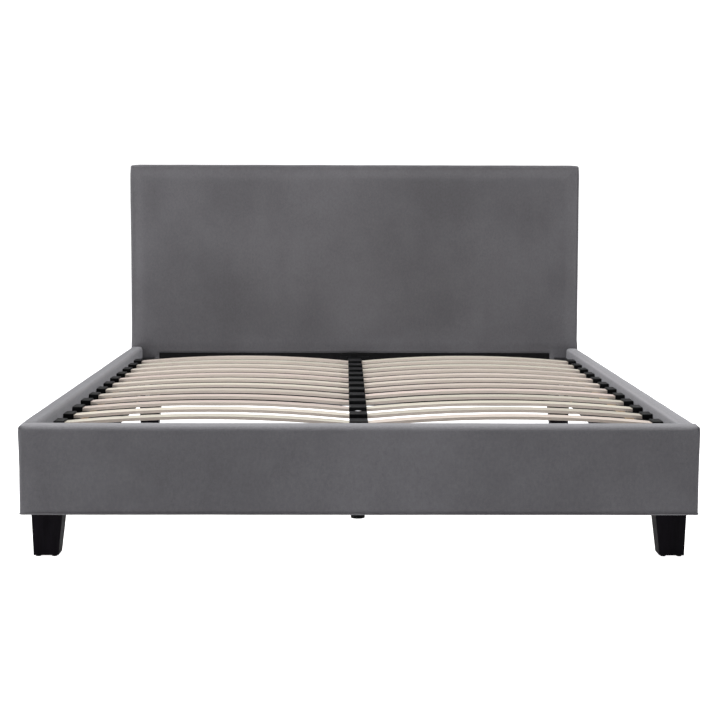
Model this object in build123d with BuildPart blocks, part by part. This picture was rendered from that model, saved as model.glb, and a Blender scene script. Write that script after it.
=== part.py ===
"""Upholstered double bed frame with a sprung slat base, as an assembly of separate pieces.

Frame: +X to the sleeper's left as seen from the foot (the right side rail), +Y towards
the headboard, +Z up. The origin is on the floor, under the middle of the bed. Millimetres.
"""
import os

from build123d import *

os.makedirs("parts", exist_ok=True)

# ---------------------------------------------------------------- driving sizes
# Whole bed
bed_width = 1440
bed_length = 2040
bed_height = 870
headboard_depth = 80
rail_bottom = 93            # clear height under the rails
rail_height = 189

# Layers of an upholstered rail, from its outer face inwards
skin = 1.5                  # velvet with its backing
side_foam = 5
board = 15
batten = 15
top_foam = 11.5
batten_height = 66
lining = 1                  # black non-woven
rail_round = 11             # rounding of the padded top
butt_gap = 0.5              # between a rail's end and the board that it meets

# Headboard
headboard_foam_front = 12
headboard_foam_rim = 5
front_board = 9
post_width = 90
cross_rail_height = 60
headboard_round = 9
front_lining_side = 91      # velvet left beside the front panel, from each side edge
front_lining_height = 173
back_border = 45            # velvet turned onto the back

# Ledgers and centre rail
ledger_drop = 31            # from the rails' top down to the slat holders' seat
ledger_seat = 38
ledger_lip = 25
ledger_sheet = 2
centre_tube = 40
tube_wall = 1.5
saddle_sheet = 2.5
saddle_reach = 45
saddle_plate_width = 92
saddle_plate_height = 46
saddle_cheek = 32           # height of the cheeks beside the tube
fit_gap = 0.5               # loose fit of tube in saddle, and rail end to saddle

# Slats and their holders
slat_rows = 12
slat_width = 50
slat_thickness = 7
slat_crown = 15
slat_neck = 43              # width of a slat's end inside its holder
shoulder_length = 20
row_margin = 224            # first and last row from the ends of the well
holder_side_wall = 4.2
holder_depth = 24
holder_floor = 1.2
holder_roof = 4.2
holder_end_wall = 2.5
holder_web = 4              # middle wall of a double holder
holder_round = 2.5
double_holder_width = 42
slat_clear = 0.3
peg_radius = 4
peg_length = 7

# Corner legs
leg_top_width = 66
leg_outer_taper = 3
leg_inner_taper = 10
leg_inset = 24.5            # leg's outer faces from the bed's side and foot
leg_edge = 2.5
glide_thickness = 3
glide_radius = 5.5
glide_spread = 34
glide_pin_radius = 1.25
glide_pin = 9
corner_block = 70

# Corner brackets at the head
bracket_sheet = 2.5
bracket_reach = 50
bracket_rise = 22           # above the rails' lower edge
bracket_drop = 18           # below the battens
post_bolt_inset = 30        # from the side board to the bolts into the post
post_bolt_grip = 35         # their length inside the post

# Centre legs
centre_leg_after_row = {"front": 10, "rear": 4}     # rows counted from the head
centre_leg_offset = {"front": 22, "rear": -16}      # towards the head from the middle between two rows
centre_leg_radius = 16
centre_leg_wall = 1.5
centre_leg_plate = 2.5
centre_leg_plate_long = 64
weld_nut_radius = 8
weld_nut_height = 7
plug_height = 22
plug_collar = 3
foot_radius = 17
foot_height = 8
foot_round = 1.5
foot_travel = 12
foot_gap = 1                # left under the plug at the top of the travel
stud_radius = 5
stud_length = 62
stud_clear = 0.35

# Fasteners
bolt_radius = 4
bolt_head_width = 13
bolt_head_height = 5.3
bolt_head_chamfer = 0.8
washer_radius = 9
washer_thickness = 1.6
screw_radius = 2.25
screw_head_radius = 4.5
screw_head_height = 2.4
ledger_screw_count = 8
ledger_screw_inset = 90
ledger_screw_length = 16
saddle_screw_radius = 2.5
saddle_screw_length = 26
saddle_screw_margin = 11
leg_bolt_length = 70
bolt_tip_cover = 1          # wood left over a bolt's tip in a side board
drill_clear = 0.15          # hole radius over shank radius

# ---------------------------------------------------------------- derived places
half_width = bed_width / 2
foot_y = -bed_length / 2
head_y = bed_length / 2
headboard_front = head_y - headboard_depth
rail_thickness = 2 * skin + side_foam + board + batten
rail_top = rail_bottom + rail_height
wood_low = rail_bottom + skin
wood_top = rail_top - skin - top_foam
batten_low = wood_top - batten_height

inner_half = half_width - rail_thickness            # inner faces of the side rails
foot_inner = foot_y + rail_thickness                # inner face of the footboard
board_outer = skin + side_foam                      # layer depths from a rail's outer face
board_inner = board_outer + board
batten_inner = board_inner + batten

ledger_top = rail_top - ledger_drop
ledger_low = ledger_top - ledger_lip
slat_low = ledger_top + holder_floor + slat_clear
slat_top = slat_low + slat_thickness
slot_height = slat_thickness + 2 * slat_clear
holder_width = slat_neck + 2 * (slat_clear + holder_side_wall)
holder_height = holder_floor + slot_height + holder_roof
holder_outer = inner_half - butt_gap
slat_outer = holder_outer - holder_end_wall - slat_clear
slat_inner = holder_web / 2 + slat_clear
slat_flat = holder_depth
slat_mid = (slat_inner + slat_outer) / 2

row_pitch = (headboard_front - foot_inner - 2 * row_margin) / (slat_rows - 1)
row_y = [headboard_front - row_margin - row * row_pitch for row in range(slat_rows)]

tube_low = ledger_top - centre_tube
saddle_face_head = headboard_front + skin - lining
tube_head = saddle_face_head - saddle_sheet - fit_gap
tube_foot = foot_inner + saddle_sheet + fit_gap
centre_leg_y = {
    end: row_y[row - 1] - row_pitch / 2 + centre_leg_offset[end]
    for end, row in centre_leg_after_row.items()
}
plug_low = foot_height + foot_travel + foot_gap
centre_leg_low = plug_low + plug_collar
centre_leg_top = tube_low - centre_leg_plate

leg_bottom_width = leg_top_width - leg_outer_taper - leg_inner_taper
leg_shift = (leg_inner_taper - leg_outer_taper) / 2
leg_x = half_width - leg_inset - leg_top_width / 2
leg_y = {
    "front": foot_y + leg_inset + leg_top_width / 2,
    "rear": headboard_front + headboard_depth / 2,
}
leg_shift_y = {"front": -leg_shift, "rear": 0}
block_x = half_width - board_inner - corner_block / 2
block_y = foot_y + board_inner + corner_block / 2

post_x = half_width - skin - headboard_foam_rim - post_width / 2
frame_front = headboard_front + skin + headboard_foam_front
post_front = frame_front + front_board
post_back = head_y - skin
frame_top = bed_height - skin - headboard_foam_rim
frame_half = half_width - skin - headboard_foam_rim
cross_rail_z = [
    wood_low + cross_rail_height / 2,
    ledger_top - centre_tube / 2,
    (ledger_top + frame_top) / 2,
    frame_top - cross_rail_height / 2,
]

bracket_low = rail_bottom + bracket_rise
bracket_height = batten_low - bracket_drop - bracket_low
bracket_z = [bracket_low + bracket_height / 4, bracket_low + bracket_height * 3 / 4]
block_bolt_z = [
    rail_bottom + (batten_low - rail_bottom) / 4,
    rail_bottom + (batten_low - rail_bottom) * 3 / 4,
]
sides = {"left": -1, "right": 1}


def plane_along(origin, direction):
    """Plane for a fastener: origin under its head, and its shank runs against direction."""
    return Plane(origin=origin, z_dir=direction)


ledger_screw_planes = {
    side: [
        plane_along((sign * (inner_half - ledger_sheet), y, ledger_low + ledger_lip / 2), (-sign, 0, 0))
        for y in [
            foot_inner + ledger_screw_inset
            + n * (headboard_front - foot_inner - 2 * ledger_screw_inset) / (ledger_screw_count - 1)
            for n in range(ledger_screw_count)
        ]
    ]
    for side, sign in sides.items()
}
saddle_screw_x = saddle_plate_width / 2 - saddle_screw_margin
saddle_z = tube_low + saddle_plate_height / 2 - saddle_sheet - fit_gap
saddle_screw_planes = {
    "head": [
        plane_along((x, saddle_face_head - saddle_sheet, saddle_z), (0, -1, 0))
        for x in (-saddle_screw_x, saddle_screw_x)
    ],
    "foot": [
        plane_along((x, foot_inner + saddle_sheet, saddle_z), (0, 1, 0))
        for x in (-saddle_screw_x, saddle_screw_x)
    ],
}
block_bolt_y = block_y + corner_block / 4
block_bolt_planes = {
    side: [
        plane_along((sign * (block_x - corner_block / 2), block_bolt_y, z), (-sign, 0, 0))
        for z in block_bolt_z
    ]
    for side, sign in sides.items()
}
bracket_corner_x = half_width - board_inner
rail_bracket_planes = {
    side: [
        plane_along(
            (sign * (bracket_corner_x - bracket_sheet), headboard_front - bracket_reach / 2, z),
            (-sign, 0, 0),
        )
        for z in bracket_z
    ]
    for side, sign in sides.items()
}
post_bracket_planes = {
    side: [
        plane_along(
            (sign * (bracket_corner_x - post_bolt_inset), headboard_front - bracket_sheet, z),
            (0, -1, 0),
        )
        for z in bracket_z
    ]
    for side, sign in sides.items()
}
leg_bolt_planes = {
    (end, side): plane_along((sign * leg_x, leg_y[end], rail_bottom + leg_bolt_length / 2), (0, 0, 1))
    for end in leg_y
    for side, sign in sides.items()
}
centre_bolt_planes = {
    end: plane_along((0, y, ledger_top), (0, 0, 1)) for end, y in centre_leg_y.items()
}
centre_bolt_length = centre_tube + centre_leg_plate + weld_nut_height
block_bolt_length = corner_block + board - bolt_tip_cover
rail_bracket_bolt_length = bracket_sheet + board - bolt_tip_cover
post_bracket_bolt_length = bracket_sheet + skin + headboard_foam_front + front_board + post_bolt_grip


def box_between(low, high, mode=Mode.ADD):
    """Box between two opposite corners, in the part being built."""
    middle = [(a + b) / 2 for a, b in zip(low, high)]
    with Locations(tuple(middle)):
        Box(*[abs(b - a) for a, b in zip(low, high)], mode=mode)


def drill(planes, radius, length):
    """Round holes for shanks that run back from the given planes."""
    with Locations(*planes):
        Cylinder(
            radius + drill_clear,
            length + drill_clear,
            align=(Align.CENTER, Align.CENTER, Align.MAX),
            mode=Mode.SUBTRACT,
        )


# ---------------------------------------------------------------- headboard
def headboard_form(inset):
    """Headboard block rounded at the front and top, shrunk by inset on every face."""
    with BuildPart() as form:
        box_between(
            (-half_width + inset, headboard_front + inset, rail_bottom + inset),
            (half_width - inset, head_y - inset, bed_height - inset),
        )
        low_edges = form.faces().sort_by(Axis.Z)[0].edges()
        back_edges = form.faces().sort_by(Axis.Y)[-1].edges()
        fillet(form.edges() - low_edges - back_edges, radius=headboard_round - inset)
    return form.part


front_lining_half = half_width - front_lining_side
front_lining_top = rail_bottom + front_lining_height

with BuildPart() as headboard_cover:
    add(headboard_form(0))
    add(headboard_form(skin), mode=Mode.SUBTRACT)
    # window for the black panel low on the front, open at the lower edge
    box_between(
        (-front_lining_half, headboard_front - 1, wood_low + headboard_round),
        (front_lining_half, headboard_front + skin, front_lining_top),
        mode=Mode.SUBTRACT,
    )
    # window for the back panel
    box_between(
        (-half_width + back_border, head_y - skin, rail_bottom + back_border),
        (half_width - back_border, head_y + 1, bed_height - back_border),
        mode=Mode.SUBTRACT,
    )
    for side in sides:
        drill(post_bracket_planes[side], bolt_radius, post_bracket_bolt_length)
        drill([leg_bolt_planes["rear", side]], bolt_radius, leg_bolt_length)
headboard_cover.part.label = "headboard_cover"
export_step(headboard_cover.part, "parts/headboard_cover.step")

with BuildPart() as headboard_foam:
    add(headboard_form(skin))
    box_between(
        (-frame_half, frame_front, rail_bottom),
        (frame_half, head_y, frame_top),
        mode=Mode.SUBTRACT,
    )
    for side in sides:
        drill(post_bracket_planes[side], bolt_radius, post_bracket_bolt_length)
    drill(saddle_screw_planes["head"], saddle_screw_radius, saddle_screw_length + headboard_foam_front)
headboard_foam.part.label = "headboard_foam"
export_step(headboard_foam.part, "parts/headboard_foam.step")

with BuildPart() as headboard_front_board:
    box_between((-frame_half, frame_front, wood_low), (frame_half, post_front, frame_top))
    for side in sides:
        drill(post_bracket_planes[side], bolt_radius, post_bracket_bolt_length)
    drill(saddle_screw_planes["head"], saddle_screw_radius, saddle_screw_length + headboard_foam_front)
headboard_front_board.part.label = "headboard_front_board"
export_step(headboard_front_board.part, "parts/headboard_front_board.step")

with BuildPart() as headboard_posts:
    for side, sign in sides.items():
        box_between(
            (sign * post_x - post_width / 2, post_front, wood_low),
            (sign * post_x + post_width / 2, post_back, frame_top),
        )
        drill(post_bracket_planes[side], bolt_radius, post_bracket_bolt_length)
        drill([leg_bolt_planes["rear", side]], bolt_radius, leg_bolt_length)
headboard_posts.part.label = "headboard_posts"
export_step(headboard_posts.part, "parts/headboard_posts.step")

with BuildPart() as headboard_cross_rails:
    for z in cross_rail_z:
        box_between(
            (-post_x + post_width / 2, post_front, z - cross_rail_height / 2),
            (post_x - post_width / 2, post_back, z + cross_rail_height / 2),
        )
    drill(saddle_screw_planes["head"], saddle_screw_radius, saddle_screw_length + headboard_foam_front)
headboard_cross_rails.part.label = "headboard_cross_rails"
export_step(headboard_cross_rails.part, "parts/headboard_cross_rails.step")

with BuildPart() as headboard_front_lining:
    box_between(
        (-front_lining_half, saddle_face_head, wood_low + headboard_round),
        (front_lining_half, headboard_front + skin, front_lining_top),
    )
    drill(saddle_screw_planes["head"], saddle_screw_radius, saddle_screw_length)
headboard_front_lining.part.label = "headboard_front_lining"
export_step(headboard_front_lining.part, "parts/headboard_front_lining.step")

with BuildPart() as headboard_back_lining:
    box_between(
        (-half_width + back_border, head_y - skin, rail_bottom + back_border),
        (half_width - back_border, head_y - skin + lining, bed_height - back_border),
    )
headboard_back_lining.part.label = "headboard_back_lining"
export_step(headboard_back_lining.part, "parts/headboard_back_lining.step")


# ---------------------------------------------------------------- footboard
def footboard_form(inset):
    """Footboard block rounded at the top and outer corners, shrunk by inset on every face."""
    with BuildPart() as form:
        box_between(
            (-half_width + inset, foot_y + inset, rail_bottom + inset),
            (half_width - inset, foot_inner - inset, rail_top - inset),
        )
        low_edges = form.faces().sort_by(Axis.Z)[0].edges()
        inner_uprights = form.edges().filter_by(Axis.Z).group_by(Axis.Y)[-1]
        fillet(form.edges() - low_edges - inner_uprights, radius=rail_round - inset)
    return form.part


with BuildPart() as footboard_cover:
    add(footboard_form(0))
    add(footboard_form(skin), mode=Mode.SUBTRACT)
    # the inner side stays open under the batten
    box_between(
        (-half_width + skin, foot_y + board_inner, rail_bottom - 1),
        (half_width - skin, foot_inner + 1, batten_low),
        mode=Mode.SUBTRACT,
    )
    drill(saddle_screw_planes["foot"], saddle_screw_radius, saddle_screw_length)
footboard_cover.part.label = "footboard_cover"
export_step(footboard_cover.part, "parts/footboard_cover.step")

footboard_half = half_width - board_outer

with BuildPart() as footboard_foam:
    add(footboard_form(skin))
    box_between(
        (-footboard_half, foot_y + board_outer, rail_bottom),
        (footboard_half, foot_inner, wood_top),
        mode=Mode.SUBTRACT,
    )
    box_between(
        (-half_width, foot_y + board_inner, rail_bottom),
        (half_width, foot_inner, batten_low),
        mode=Mode.SUBTRACT,
    )
footboard_foam.part.label = "footboard_foam"
export_step(footboard_foam.part, "parts/footboard_foam.step")

with BuildPart() as footboard_board:
    box_between(
        (-footboard_half, foot_y + board_outer, wood_low),
        (footboard_half, foot_y + board_inner, wood_top),
    )
    drill(saddle_screw_planes["foot"], saddle_screw_radius, saddle_screw_length)
footboard_board.part.label = "footboard_board"
export_step(footboard_board.part, "parts/footboard_board.step")

with BuildPart() as footboard_batten:
    box_between(
        (-footboard_half, foot_y + board_inner, batten_low),
        (footboard_half, foot_y + batten_inner, wood_top),
    )
    drill(saddle_screw_planes["foot"], saddle_screw_radius, saddle_screw_length)
footboard_batten.part.label = "footboard_batten"
export_step(footboard_batten.part, "parts/footboard_batten.step")

with BuildPart() as footboard_lining:
    lining_half = block_x - corner_block / 2 - butt_gap
    box_between(
        (-lining_half, foot_y + board_inner, wood_low),
        (lining_half, foot_y + board_inner + lining, batten_low),
    )
footboard_lining.part.label = "footboard_lining"
export_step(footboard_lining.part, "parts/footboard_lining.step")

# ---------------------------------------------------------------- side rails
rail_head = headboard_front - butt_gap
rail_foot = foot_inner + butt_gap
rail_length = rail_head - rail_foot
rail_plane = Plane.XZ.offset(-rail_head)            # its normal runs from head to foot


def rail_corners(sign, near, far, low, high):
    """Corners of a rectangle between two depths from a side rail's outer face."""
    inward = [sign * (half_width - near), sign * (half_width - far)]
    return [(inward[0], low), (inward[1], low), (inward[1], high), (inward[0], high)]


for side, sign in sides.items():
    with BuildPart() as rail_cover:
        with BuildSketch(rail_plane) as outside:
            Polygon(*rail_corners(sign, 0, rail_thickness, rail_bottom, rail_top), align=None)
            fillet(outside.vertices().group_by(Axis.Y)[-1], radius=rail_round)
        extrude(amount=rail_length)
        with BuildSketch(rail_plane) as inside:
            Polygon(
                *rail_corners(sign, skin, rail_thickness - skin, wood_low, rail_top - skin),
                align=None,
            )
            fillet(inside.vertices().group_by(Axis.Y)[-1], radius=rail_round - skin)
        extrude(amount=rail_length, mode=Mode.SUBTRACT)
        # the inner side stays open below the ledger
        with BuildSketch(rail_plane):
            Polygon(
                *rail_corners(sign, board_inner, rail_thickness + 1, rail_bottom - 1, ledger_low),
                align=None,
            )
        extrude(amount=rail_length, mode=Mode.SUBTRACT)
        drill(ledger_screw_planes[side], screw_radius, ledger_screw_length)
    rail_cover.part.label = f"side_rail_{side}_cover"
    export_step(rail_cover.part, f"parts/side_rail_{side}_cover.step")

    with BuildPart() as rail_foam:
        with BuildSketch(rail_plane) as padding:
            Polygon(
                *rail_corners(sign, skin, rail_thickness - skin, wood_low, rail_top - skin),
                align=None,
            )
            fillet(padding.vertices().group_by(Axis.Y)[-1], radius=rail_round - skin)
            Polygon(
                *rail_corners(sign, board_outer, rail_thickness, rail_bottom, wood_top),
                align=None,
                mode=Mode.SUBTRACT,
            )
        extrude(amount=rail_length)
    rail_foam.part.label = f"side_rail_{side}_foam"
    export_step(rail_foam.part, f"parts/side_rail_{side}_foam.step")

    with BuildPart() as rail_board:
        with BuildSketch(rail_plane):
            Polygon(*rail_corners(sign, board_outer, board_inner, wood_low, wood_top), align=None)
        extrude(amount=rail_length)
        drill(block_bolt_planes[side], bolt_radius, block_bolt_length)
        drill(rail_bracket_planes[side], bolt_radius, rail_bracket_bolt_length)
    rail_board.part.label = f"side_rail_{side}_board"
    export_step(rail_board.part, f"parts/side_rail_{side}_board.step")

    with BuildPart() as rail_batten:
        with BuildSketch(rail_plane):
            Polygon(*rail_corners(sign, board_inner, batten_inner, batten_low, wood_top), align=None)
        extrude(amount=rail_length)
        drill(ledger_screw_planes[side], screw_radius, ledger_screw_length)
    rail_batten.part.label = f"side_rail_{side}_batten"
    export_step(rail_batten.part, f"parts/side_rail_{side}_batten.step")

    with BuildPart() as rail_lining:
        box_between(
            (sign * bracket_corner_x, block_y + corner_block / 2 + butt_gap, wood_low),
            (
                sign * (bracket_corner_x - lining),
                headboard_front - bracket_reach - butt_gap,
                batten_low,
            ),
        )
    rail_lining.part.label = f"side_rail_{side}_lining"
    export_step(rail_lining.part, f"parts/side_rail_{side}_lining.step")

    with BuildPart() as ledger:
        box_between(
            (sign * (inner_half - ledger_sheet), rail_foot, ledger_low),
            (sign * inner_half, rail_head, ledger_top),
        )
        box_between(
            (sign * (inner_half - ledger_seat), rail_foot, ledger_top - ledger_sheet),
            (sign * inner_half, rail_head, ledger_top),
        )
        drill(ledger_screw_planes[side], screw_radius, ledger_screw_length)
        with Locations(*[(sign * (holder_outer - holder_depth / 2), y, ledger_top) for y in row_y]):
            Cylinder(peg_radius + drill_clear, 3 * ledger_sheet, mode=Mode.SUBTRACT)
    ledger.part.label = f"side_ledger_{side}"
    export_step(ledger.part, f"parts/side_ledger_{side}.step")

with BuildPart() as ledger_screw:
    Cylinder(screw_radius, ledger_screw_length, align=(Align.CENTER, Align.CENTER, Align.MAX))
    Cylinder(screw_head_radius, screw_head_height, align=(Align.CENTER, Align.CENTER, Align.MIN))
    fillet(ledger_screw.edges().sort_by(Axis.Z)[-1], radius=screw_head_height / 2)

with BuildPart() as ledger_screws:
    for side in sides:
        with Locations(*ledger_screw_planes[side]):
            add(ledger_screw.part)
ledger_screws.part.label = "ledger_screws"
export_step(ledger_screws.part, "parts/ledger_screws.step")

# ---------------------------------------------------------------- centre rail
with BuildPart() as centre_rail:
    with BuildSketch(Plane.XZ.offset(-tube_head)) as tube_section:
        with Locations((0, ledger_top - centre_tube / 2)):
            RectangleRounded(centre_tube, centre_tube, 2 * tube_wall)
            Rectangle(centre_tube - 2 * tube_wall, centre_tube - 2 * tube_wall, mode=Mode.SUBTRACT)
    extrude(amount=tube_head - tube_foot)
    drill(list(centre_bolt_planes.values()), bolt_radius, centre_bolt_length)
    with Locations(*[(0, y, ledger_top) for y in row_y]):
        Cylinder(peg_radius + drill_clear, 3 * tube_wall, mode=Mode.SUBTRACT)
centre_rail.part.label = "centre_rail"
export_step(centre_rail.part, "parts/centre_rail.step")

cradle_half = centre_tube / 2 + fit_gap + saddle_sheet
cradle_low = tube_low - fit_gap - saddle_sheet

for end, face, inward in (("head", saddle_face_head, -1), ("foot", foot_inner, 1)):
    plate_y = face + inward * saddle_sheet
    with BuildPart() as saddle:
        box_between(
            (-saddle_plate_width / 2, face, cradle_low),
            (saddle_plate_width / 2, plate_y, cradle_low + saddle_plate_height),
        )
        box_between(
            (-cradle_half, plate_y, cradle_low),
            (cradle_half, face + inward * saddle_reach, cradle_low + saddle_cheek),
        )
        box_between(
            (-cradle_half + saddle_sheet, plate_y, cradle_low + saddle_sheet),
            (cradle_half - saddle_sheet, face + inward * (saddle_reach + 1), ledger_top),
            mode=Mode.SUBTRACT,
        )
        drill(saddle_screw_planes[end], saddle_screw_radius, saddle_screw_length)
    saddle.part.label = f"centre_rail_saddle_{end}"
    export_step(saddle.part, f"parts/centre_rail_saddle_{end}.step")

with BuildPart() as saddle_screws:
    for end, extra in (("head", headboard_foam_front), ("foot", 0)):
        with Locations(*saddle_screw_planes[end]):
            Cylinder(
                saddle_screw_radius,
                saddle_screw_length + extra,
                align=(Align.CENTER, Align.CENTER, Align.MAX),
            )
            Cylinder(
                screw_head_radius,
                screw_head_height,
                align=(Align.CENTER, Align.CENTER, Align.MIN),
            )
saddle_screws.part.label = "saddle_screws"
export_step(saddle_screws.part, "parts/saddle_screws.step")

# ---------------------------------------------------------------- slats
def slat_edge(height):
    """Long edge of a bowed slat: flat in the holders, one arc between them."""
    return [
        (slat_inner, height),
        (slat_inner + slat_flat, height),
        (slat_mid, height + slat_crown),
        (slat_outer - slat_flat, height),
        (slat_outer, height),
    ]


with BuildPart() as slat:
    upper = slat_edge(slat_top)
    lower = slat_edge(slat_low)
    with BuildSketch(Plane.XZ) as bow:
        with BuildLine():
            Line(upper[0], upper[1])
            ThreePointArc(upper[1], upper[2], upper[3])
            Line(upper[3], upper[4])
            Line(upper[4], lower[4])
            Line(lower[4], lower[3])
            ThreePointArc(lower[3], lower[2], lower[1])
            Line(lower[1], lower[0])
            Line(lower[0], upper[0])
        make_face()
    extrude(amount=slat_width / 2, both=True)
    # plan outline: a narrower neck at each end with sloping shoulders
    shoulder = slat_flat + shoulder_length
    with BuildSketch(Plane.XY.offset(slat_low - 1)) as plan:
        Polygon(
            (slat_inner, -slat_neck / 2),
            (slat_inner + slat_flat, -slat_neck / 2),
            (slat_inner + shoulder, -slat_width / 2),
            (slat_outer - shoulder, -slat_width / 2),
            (slat_outer - slat_flat, -slat_neck / 2),
            (slat_outer, -slat_neck / 2),
            (slat_outer, slat_neck / 2),
            (slat_outer - slat_flat, slat_neck / 2),
            (slat_outer - shoulder, slat_width / 2),
            (slat_inner + shoulder, slat_width / 2),
            (slat_inner + slat_flat, slat_neck / 2),
            (slat_inner, slat_neck / 2),
            align=None,
        )
        fillet(plan.vertices().group_by(Axis.Y)[0], radius=shoulder_length)
        fillet(plan.vertices().group_by(Axis.Y)[-1], radius=shoulder_length)
    extrude(amount=slat_thickness + slat_crown + 2, mode=Mode.INTERSECT)

for row, y in enumerate(row_y, start=1):
    with BuildPart() as slat_row:
        with Locations((0, y, 0)):
            add(slat.part)
        mirror(about=Plane.YZ)
    slat_row.part.label = f"slat_row_{row:02d}"
    export_step(slat_row.part, f"parts/slat_row_{row:02d}.step")

# ---------------------------------------------------------------- slat holders
with BuildPart() as side_holder:
    # stands at the right-hand ledger, its mouth towards the middle of the bed
    box_between(
        (holder_outer - holder_depth, -holder_width / 2, ledger_top),
        (holder_outer, holder_width / 2, ledger_top + holder_height),
    )
    fillet(side_holder.faces().sort_by(Axis.Z)[-1].edges(), radius=holder_round)
    box_between(
        (holder_outer - holder_depth - 1, -slat_neck / 2 - slat_clear, ledger_top + holder_floor),
        (
            holder_outer - holder_end_wall,
            slat_neck / 2 + slat_clear,
            ledger_top + holder_floor + slot_height,
        ),
        mode=Mode.SUBTRACT,
    )
    with Locations((holder_outer - holder_depth / 2, 0, ledger_top)):
        Cylinder(peg_radius, peg_length, align=(Align.CENTER, Align.CENTER, Align.MAX))

with BuildPart() as double_holder:
    box_between(
        (-double_holder_width / 2, -holder_width / 2, ledger_top),
        (double_holder_width / 2, holder_width / 2, ledger_top + holder_height),
    )
    fillet(double_holder.faces().sort_by(Axis.Z)[-1].edges(), radius=holder_round)
    for sign in sides.values():
        box_between(
            (sign * holder_web / 2, -slat_neck / 2 - slat_clear, ledger_top + holder_floor),
            (
                sign * (double_holder_width / 2 + 1),
                slat_neck / 2 + slat_clear,
                ledger_top + holder_floor + slot_height,
            ),
            mode=Mode.SUBTRACT,
        )
    with Locations((0, 0, ledger_top)):
        Cylinder(peg_radius, peg_length, align=(Align.CENTER, Align.CENTER, Align.MAX))

with BuildPart() as slat_caps_right:
    with Locations(*[(0, y, 0) for y in row_y]):
        add(side_holder.part)
slat_caps_right.part.label = "slat_caps_right"
export_step(slat_caps_right.part, "parts/slat_caps_right.step")

with BuildPart() as slat_caps_left:
    mirror(slat_caps_right.part, about=Plane.YZ)
slat_caps_left.part.label = "slat_caps_left"
export_step(slat_caps_left.part, "parts/slat_caps_left.step")

with BuildPart() as slat_caps_centre:
    with Locations(*[(0, y, 0) for y in row_y]):
        add(double_holder.part)
slat_caps_centre.part.label = "slat_caps_centre"
export_step(slat_caps_centre.part, "parts/slat_caps_centre.step")

# ---------------------------------------------------------------- centre legs
with BuildPart() as hex_bolt_head:
    Cylinder(washer_radius, washer_thickness, align=(Align.CENTER, Align.CENTER, Align.MIN))
    with BuildSketch(Plane.XY.offset(washer_thickness)):
        RegularPolygon(bolt_head_width / 2, 6, major_radius=False)
    extrude(amount=bolt_head_height)
    chamfer(hex_bolt_head.faces().sort_by(Axis.Z)[-1].edges(), length=bolt_head_chamfer)

for end, y in centre_leg_y.items():
    with BuildPart() as centre_leg:
        with BuildSketch(Plane.XY.offset(centre_leg_low)):
            with Locations((0, y)):
                Circle(centre_leg_radius)
                Circle(centre_leg_radius - centre_leg_wall, mode=Mode.SUBTRACT)
        extrude(amount=centre_leg_top - centre_leg_low)
        box_between(
            (-centre_tube / 2, y - centre_leg_plate_long / 2, centre_leg_top),
            (centre_tube / 2, y + centre_leg_plate_long / 2, tube_low),
        )
        with Locations((0, y, centre_leg_top)):
            Cylinder(
                weld_nut_radius,
                weld_nut_height,
                align=(Align.CENTER, Align.CENTER, Align.MAX),
            )
        drill([centre_bolt_planes[end]], bolt_radius, centre_bolt_length)
    centre_leg.part.label = f"centre_leg_{end}"
    export_step(centre_leg.part, f"parts/centre_leg_{end}.step")

    with BuildPart() as levelling_foot:
        with Locations((0, y, 0)):
            Cylinder(foot_radius, foot_height, align=(Align.CENTER, Align.CENTER, Align.MIN))
            Cylinder(stud_radius, stud_length, align=(Align.CENTER, Align.CENTER, Align.MIN))
        fillet(levelling_foot.faces().sort_by(Axis.Z)[0].edges(), radius=foot_round)
    levelling_foot.part.label = f"levelling_foot_{end}"
    export_step(levelling_foot.part, f"parts/levelling_foot_{end}.step")

with BuildPart() as centre_leg_plugs:
    for y in centre_leg_y.values():
        with Locations((0, y, plug_low)):
            Cylinder(centre_leg_radius, plug_collar, align=(Align.CENTER, Align.CENTER, Align.MIN))
            Cylinder(
                centre_leg_radius - centre_leg_wall,
                plug_height,
                align=(Align.CENTER, Align.CENTER, Align.MIN),
            )
            Cylinder(stud_radius + stud_clear, 3 * plug_height, mode=Mode.SUBTRACT)
centre_leg_plugs.part.label = "centre_leg_plugs"
export_step(centre_leg_plugs.part, "parts/centre_leg_plugs.step")

with BuildPart() as centre_leg_bolts:
    with Locations(*centre_bolt_planes.values()):
        add(hex_bolt_head.part)
        Cylinder(
            bolt_radius,
            centre_bolt_length,
            align=(Align.CENTER, Align.CENTER, Align.MAX),
        )
centre_leg_bolts.part.label = "centre_leg_bolts"
export_step(centre_leg_bolts.part, "parts/centre_leg_bolts.step")

# ---------------------------------------------------------------- corner legs
glide_places = {}
for end, y in leg_y.items():
    for side, sign in sides.items():
        centre = (sign * (leg_x + leg_shift), y + leg_shift_y[end])
        half = glide_spread / 2
        glide_places[end, side] = [
            (centre[0] + a * half, centre[1] + b * half, 0) for a in (-1, 1) for b in (-1, 1)
        ]

for end, y in leg_y.items():
    for side, sign in sides.items():
        with BuildPart() as leg:
            with BuildSketch(Plane.XY.offset(rail_bottom)):
                with Locations((sign * leg_x, y)):
                    Rectangle(leg_top_width, leg_top_width)
            with BuildSketch(Plane.XY.offset(glide_thickness)):
                with Locations((sign * (leg_x + leg_shift), y + leg_shift_y[end])):
                    Rectangle(leg_bottom_width, leg_bottom_width)
            loft(ruled=True)
            end_faces = leg.faces().sort_by(Axis.Z)
            uprights = leg.edges() - end_faces[0].edges() - end_faces[-1].edges()
            fillet(uprights, radius=leg_edge)
            drill([leg_bolt_planes[end, side]], bolt_radius, leg_bolt_length)
            with Locations(*glide_places[end, side]):
                Cylinder(
                    glide_pin_radius + drill_clear,
                    glide_thickness + glide_pin,
                    align=(Align.CENTER, Align.CENTER, Align.MIN),
                    mode=Mode.SUBTRACT,
                )
        leg.part.label = f"leg_{end}_{side}"
        export_step(leg.part, f"parts/leg_{end}_{side}.step")

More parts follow.
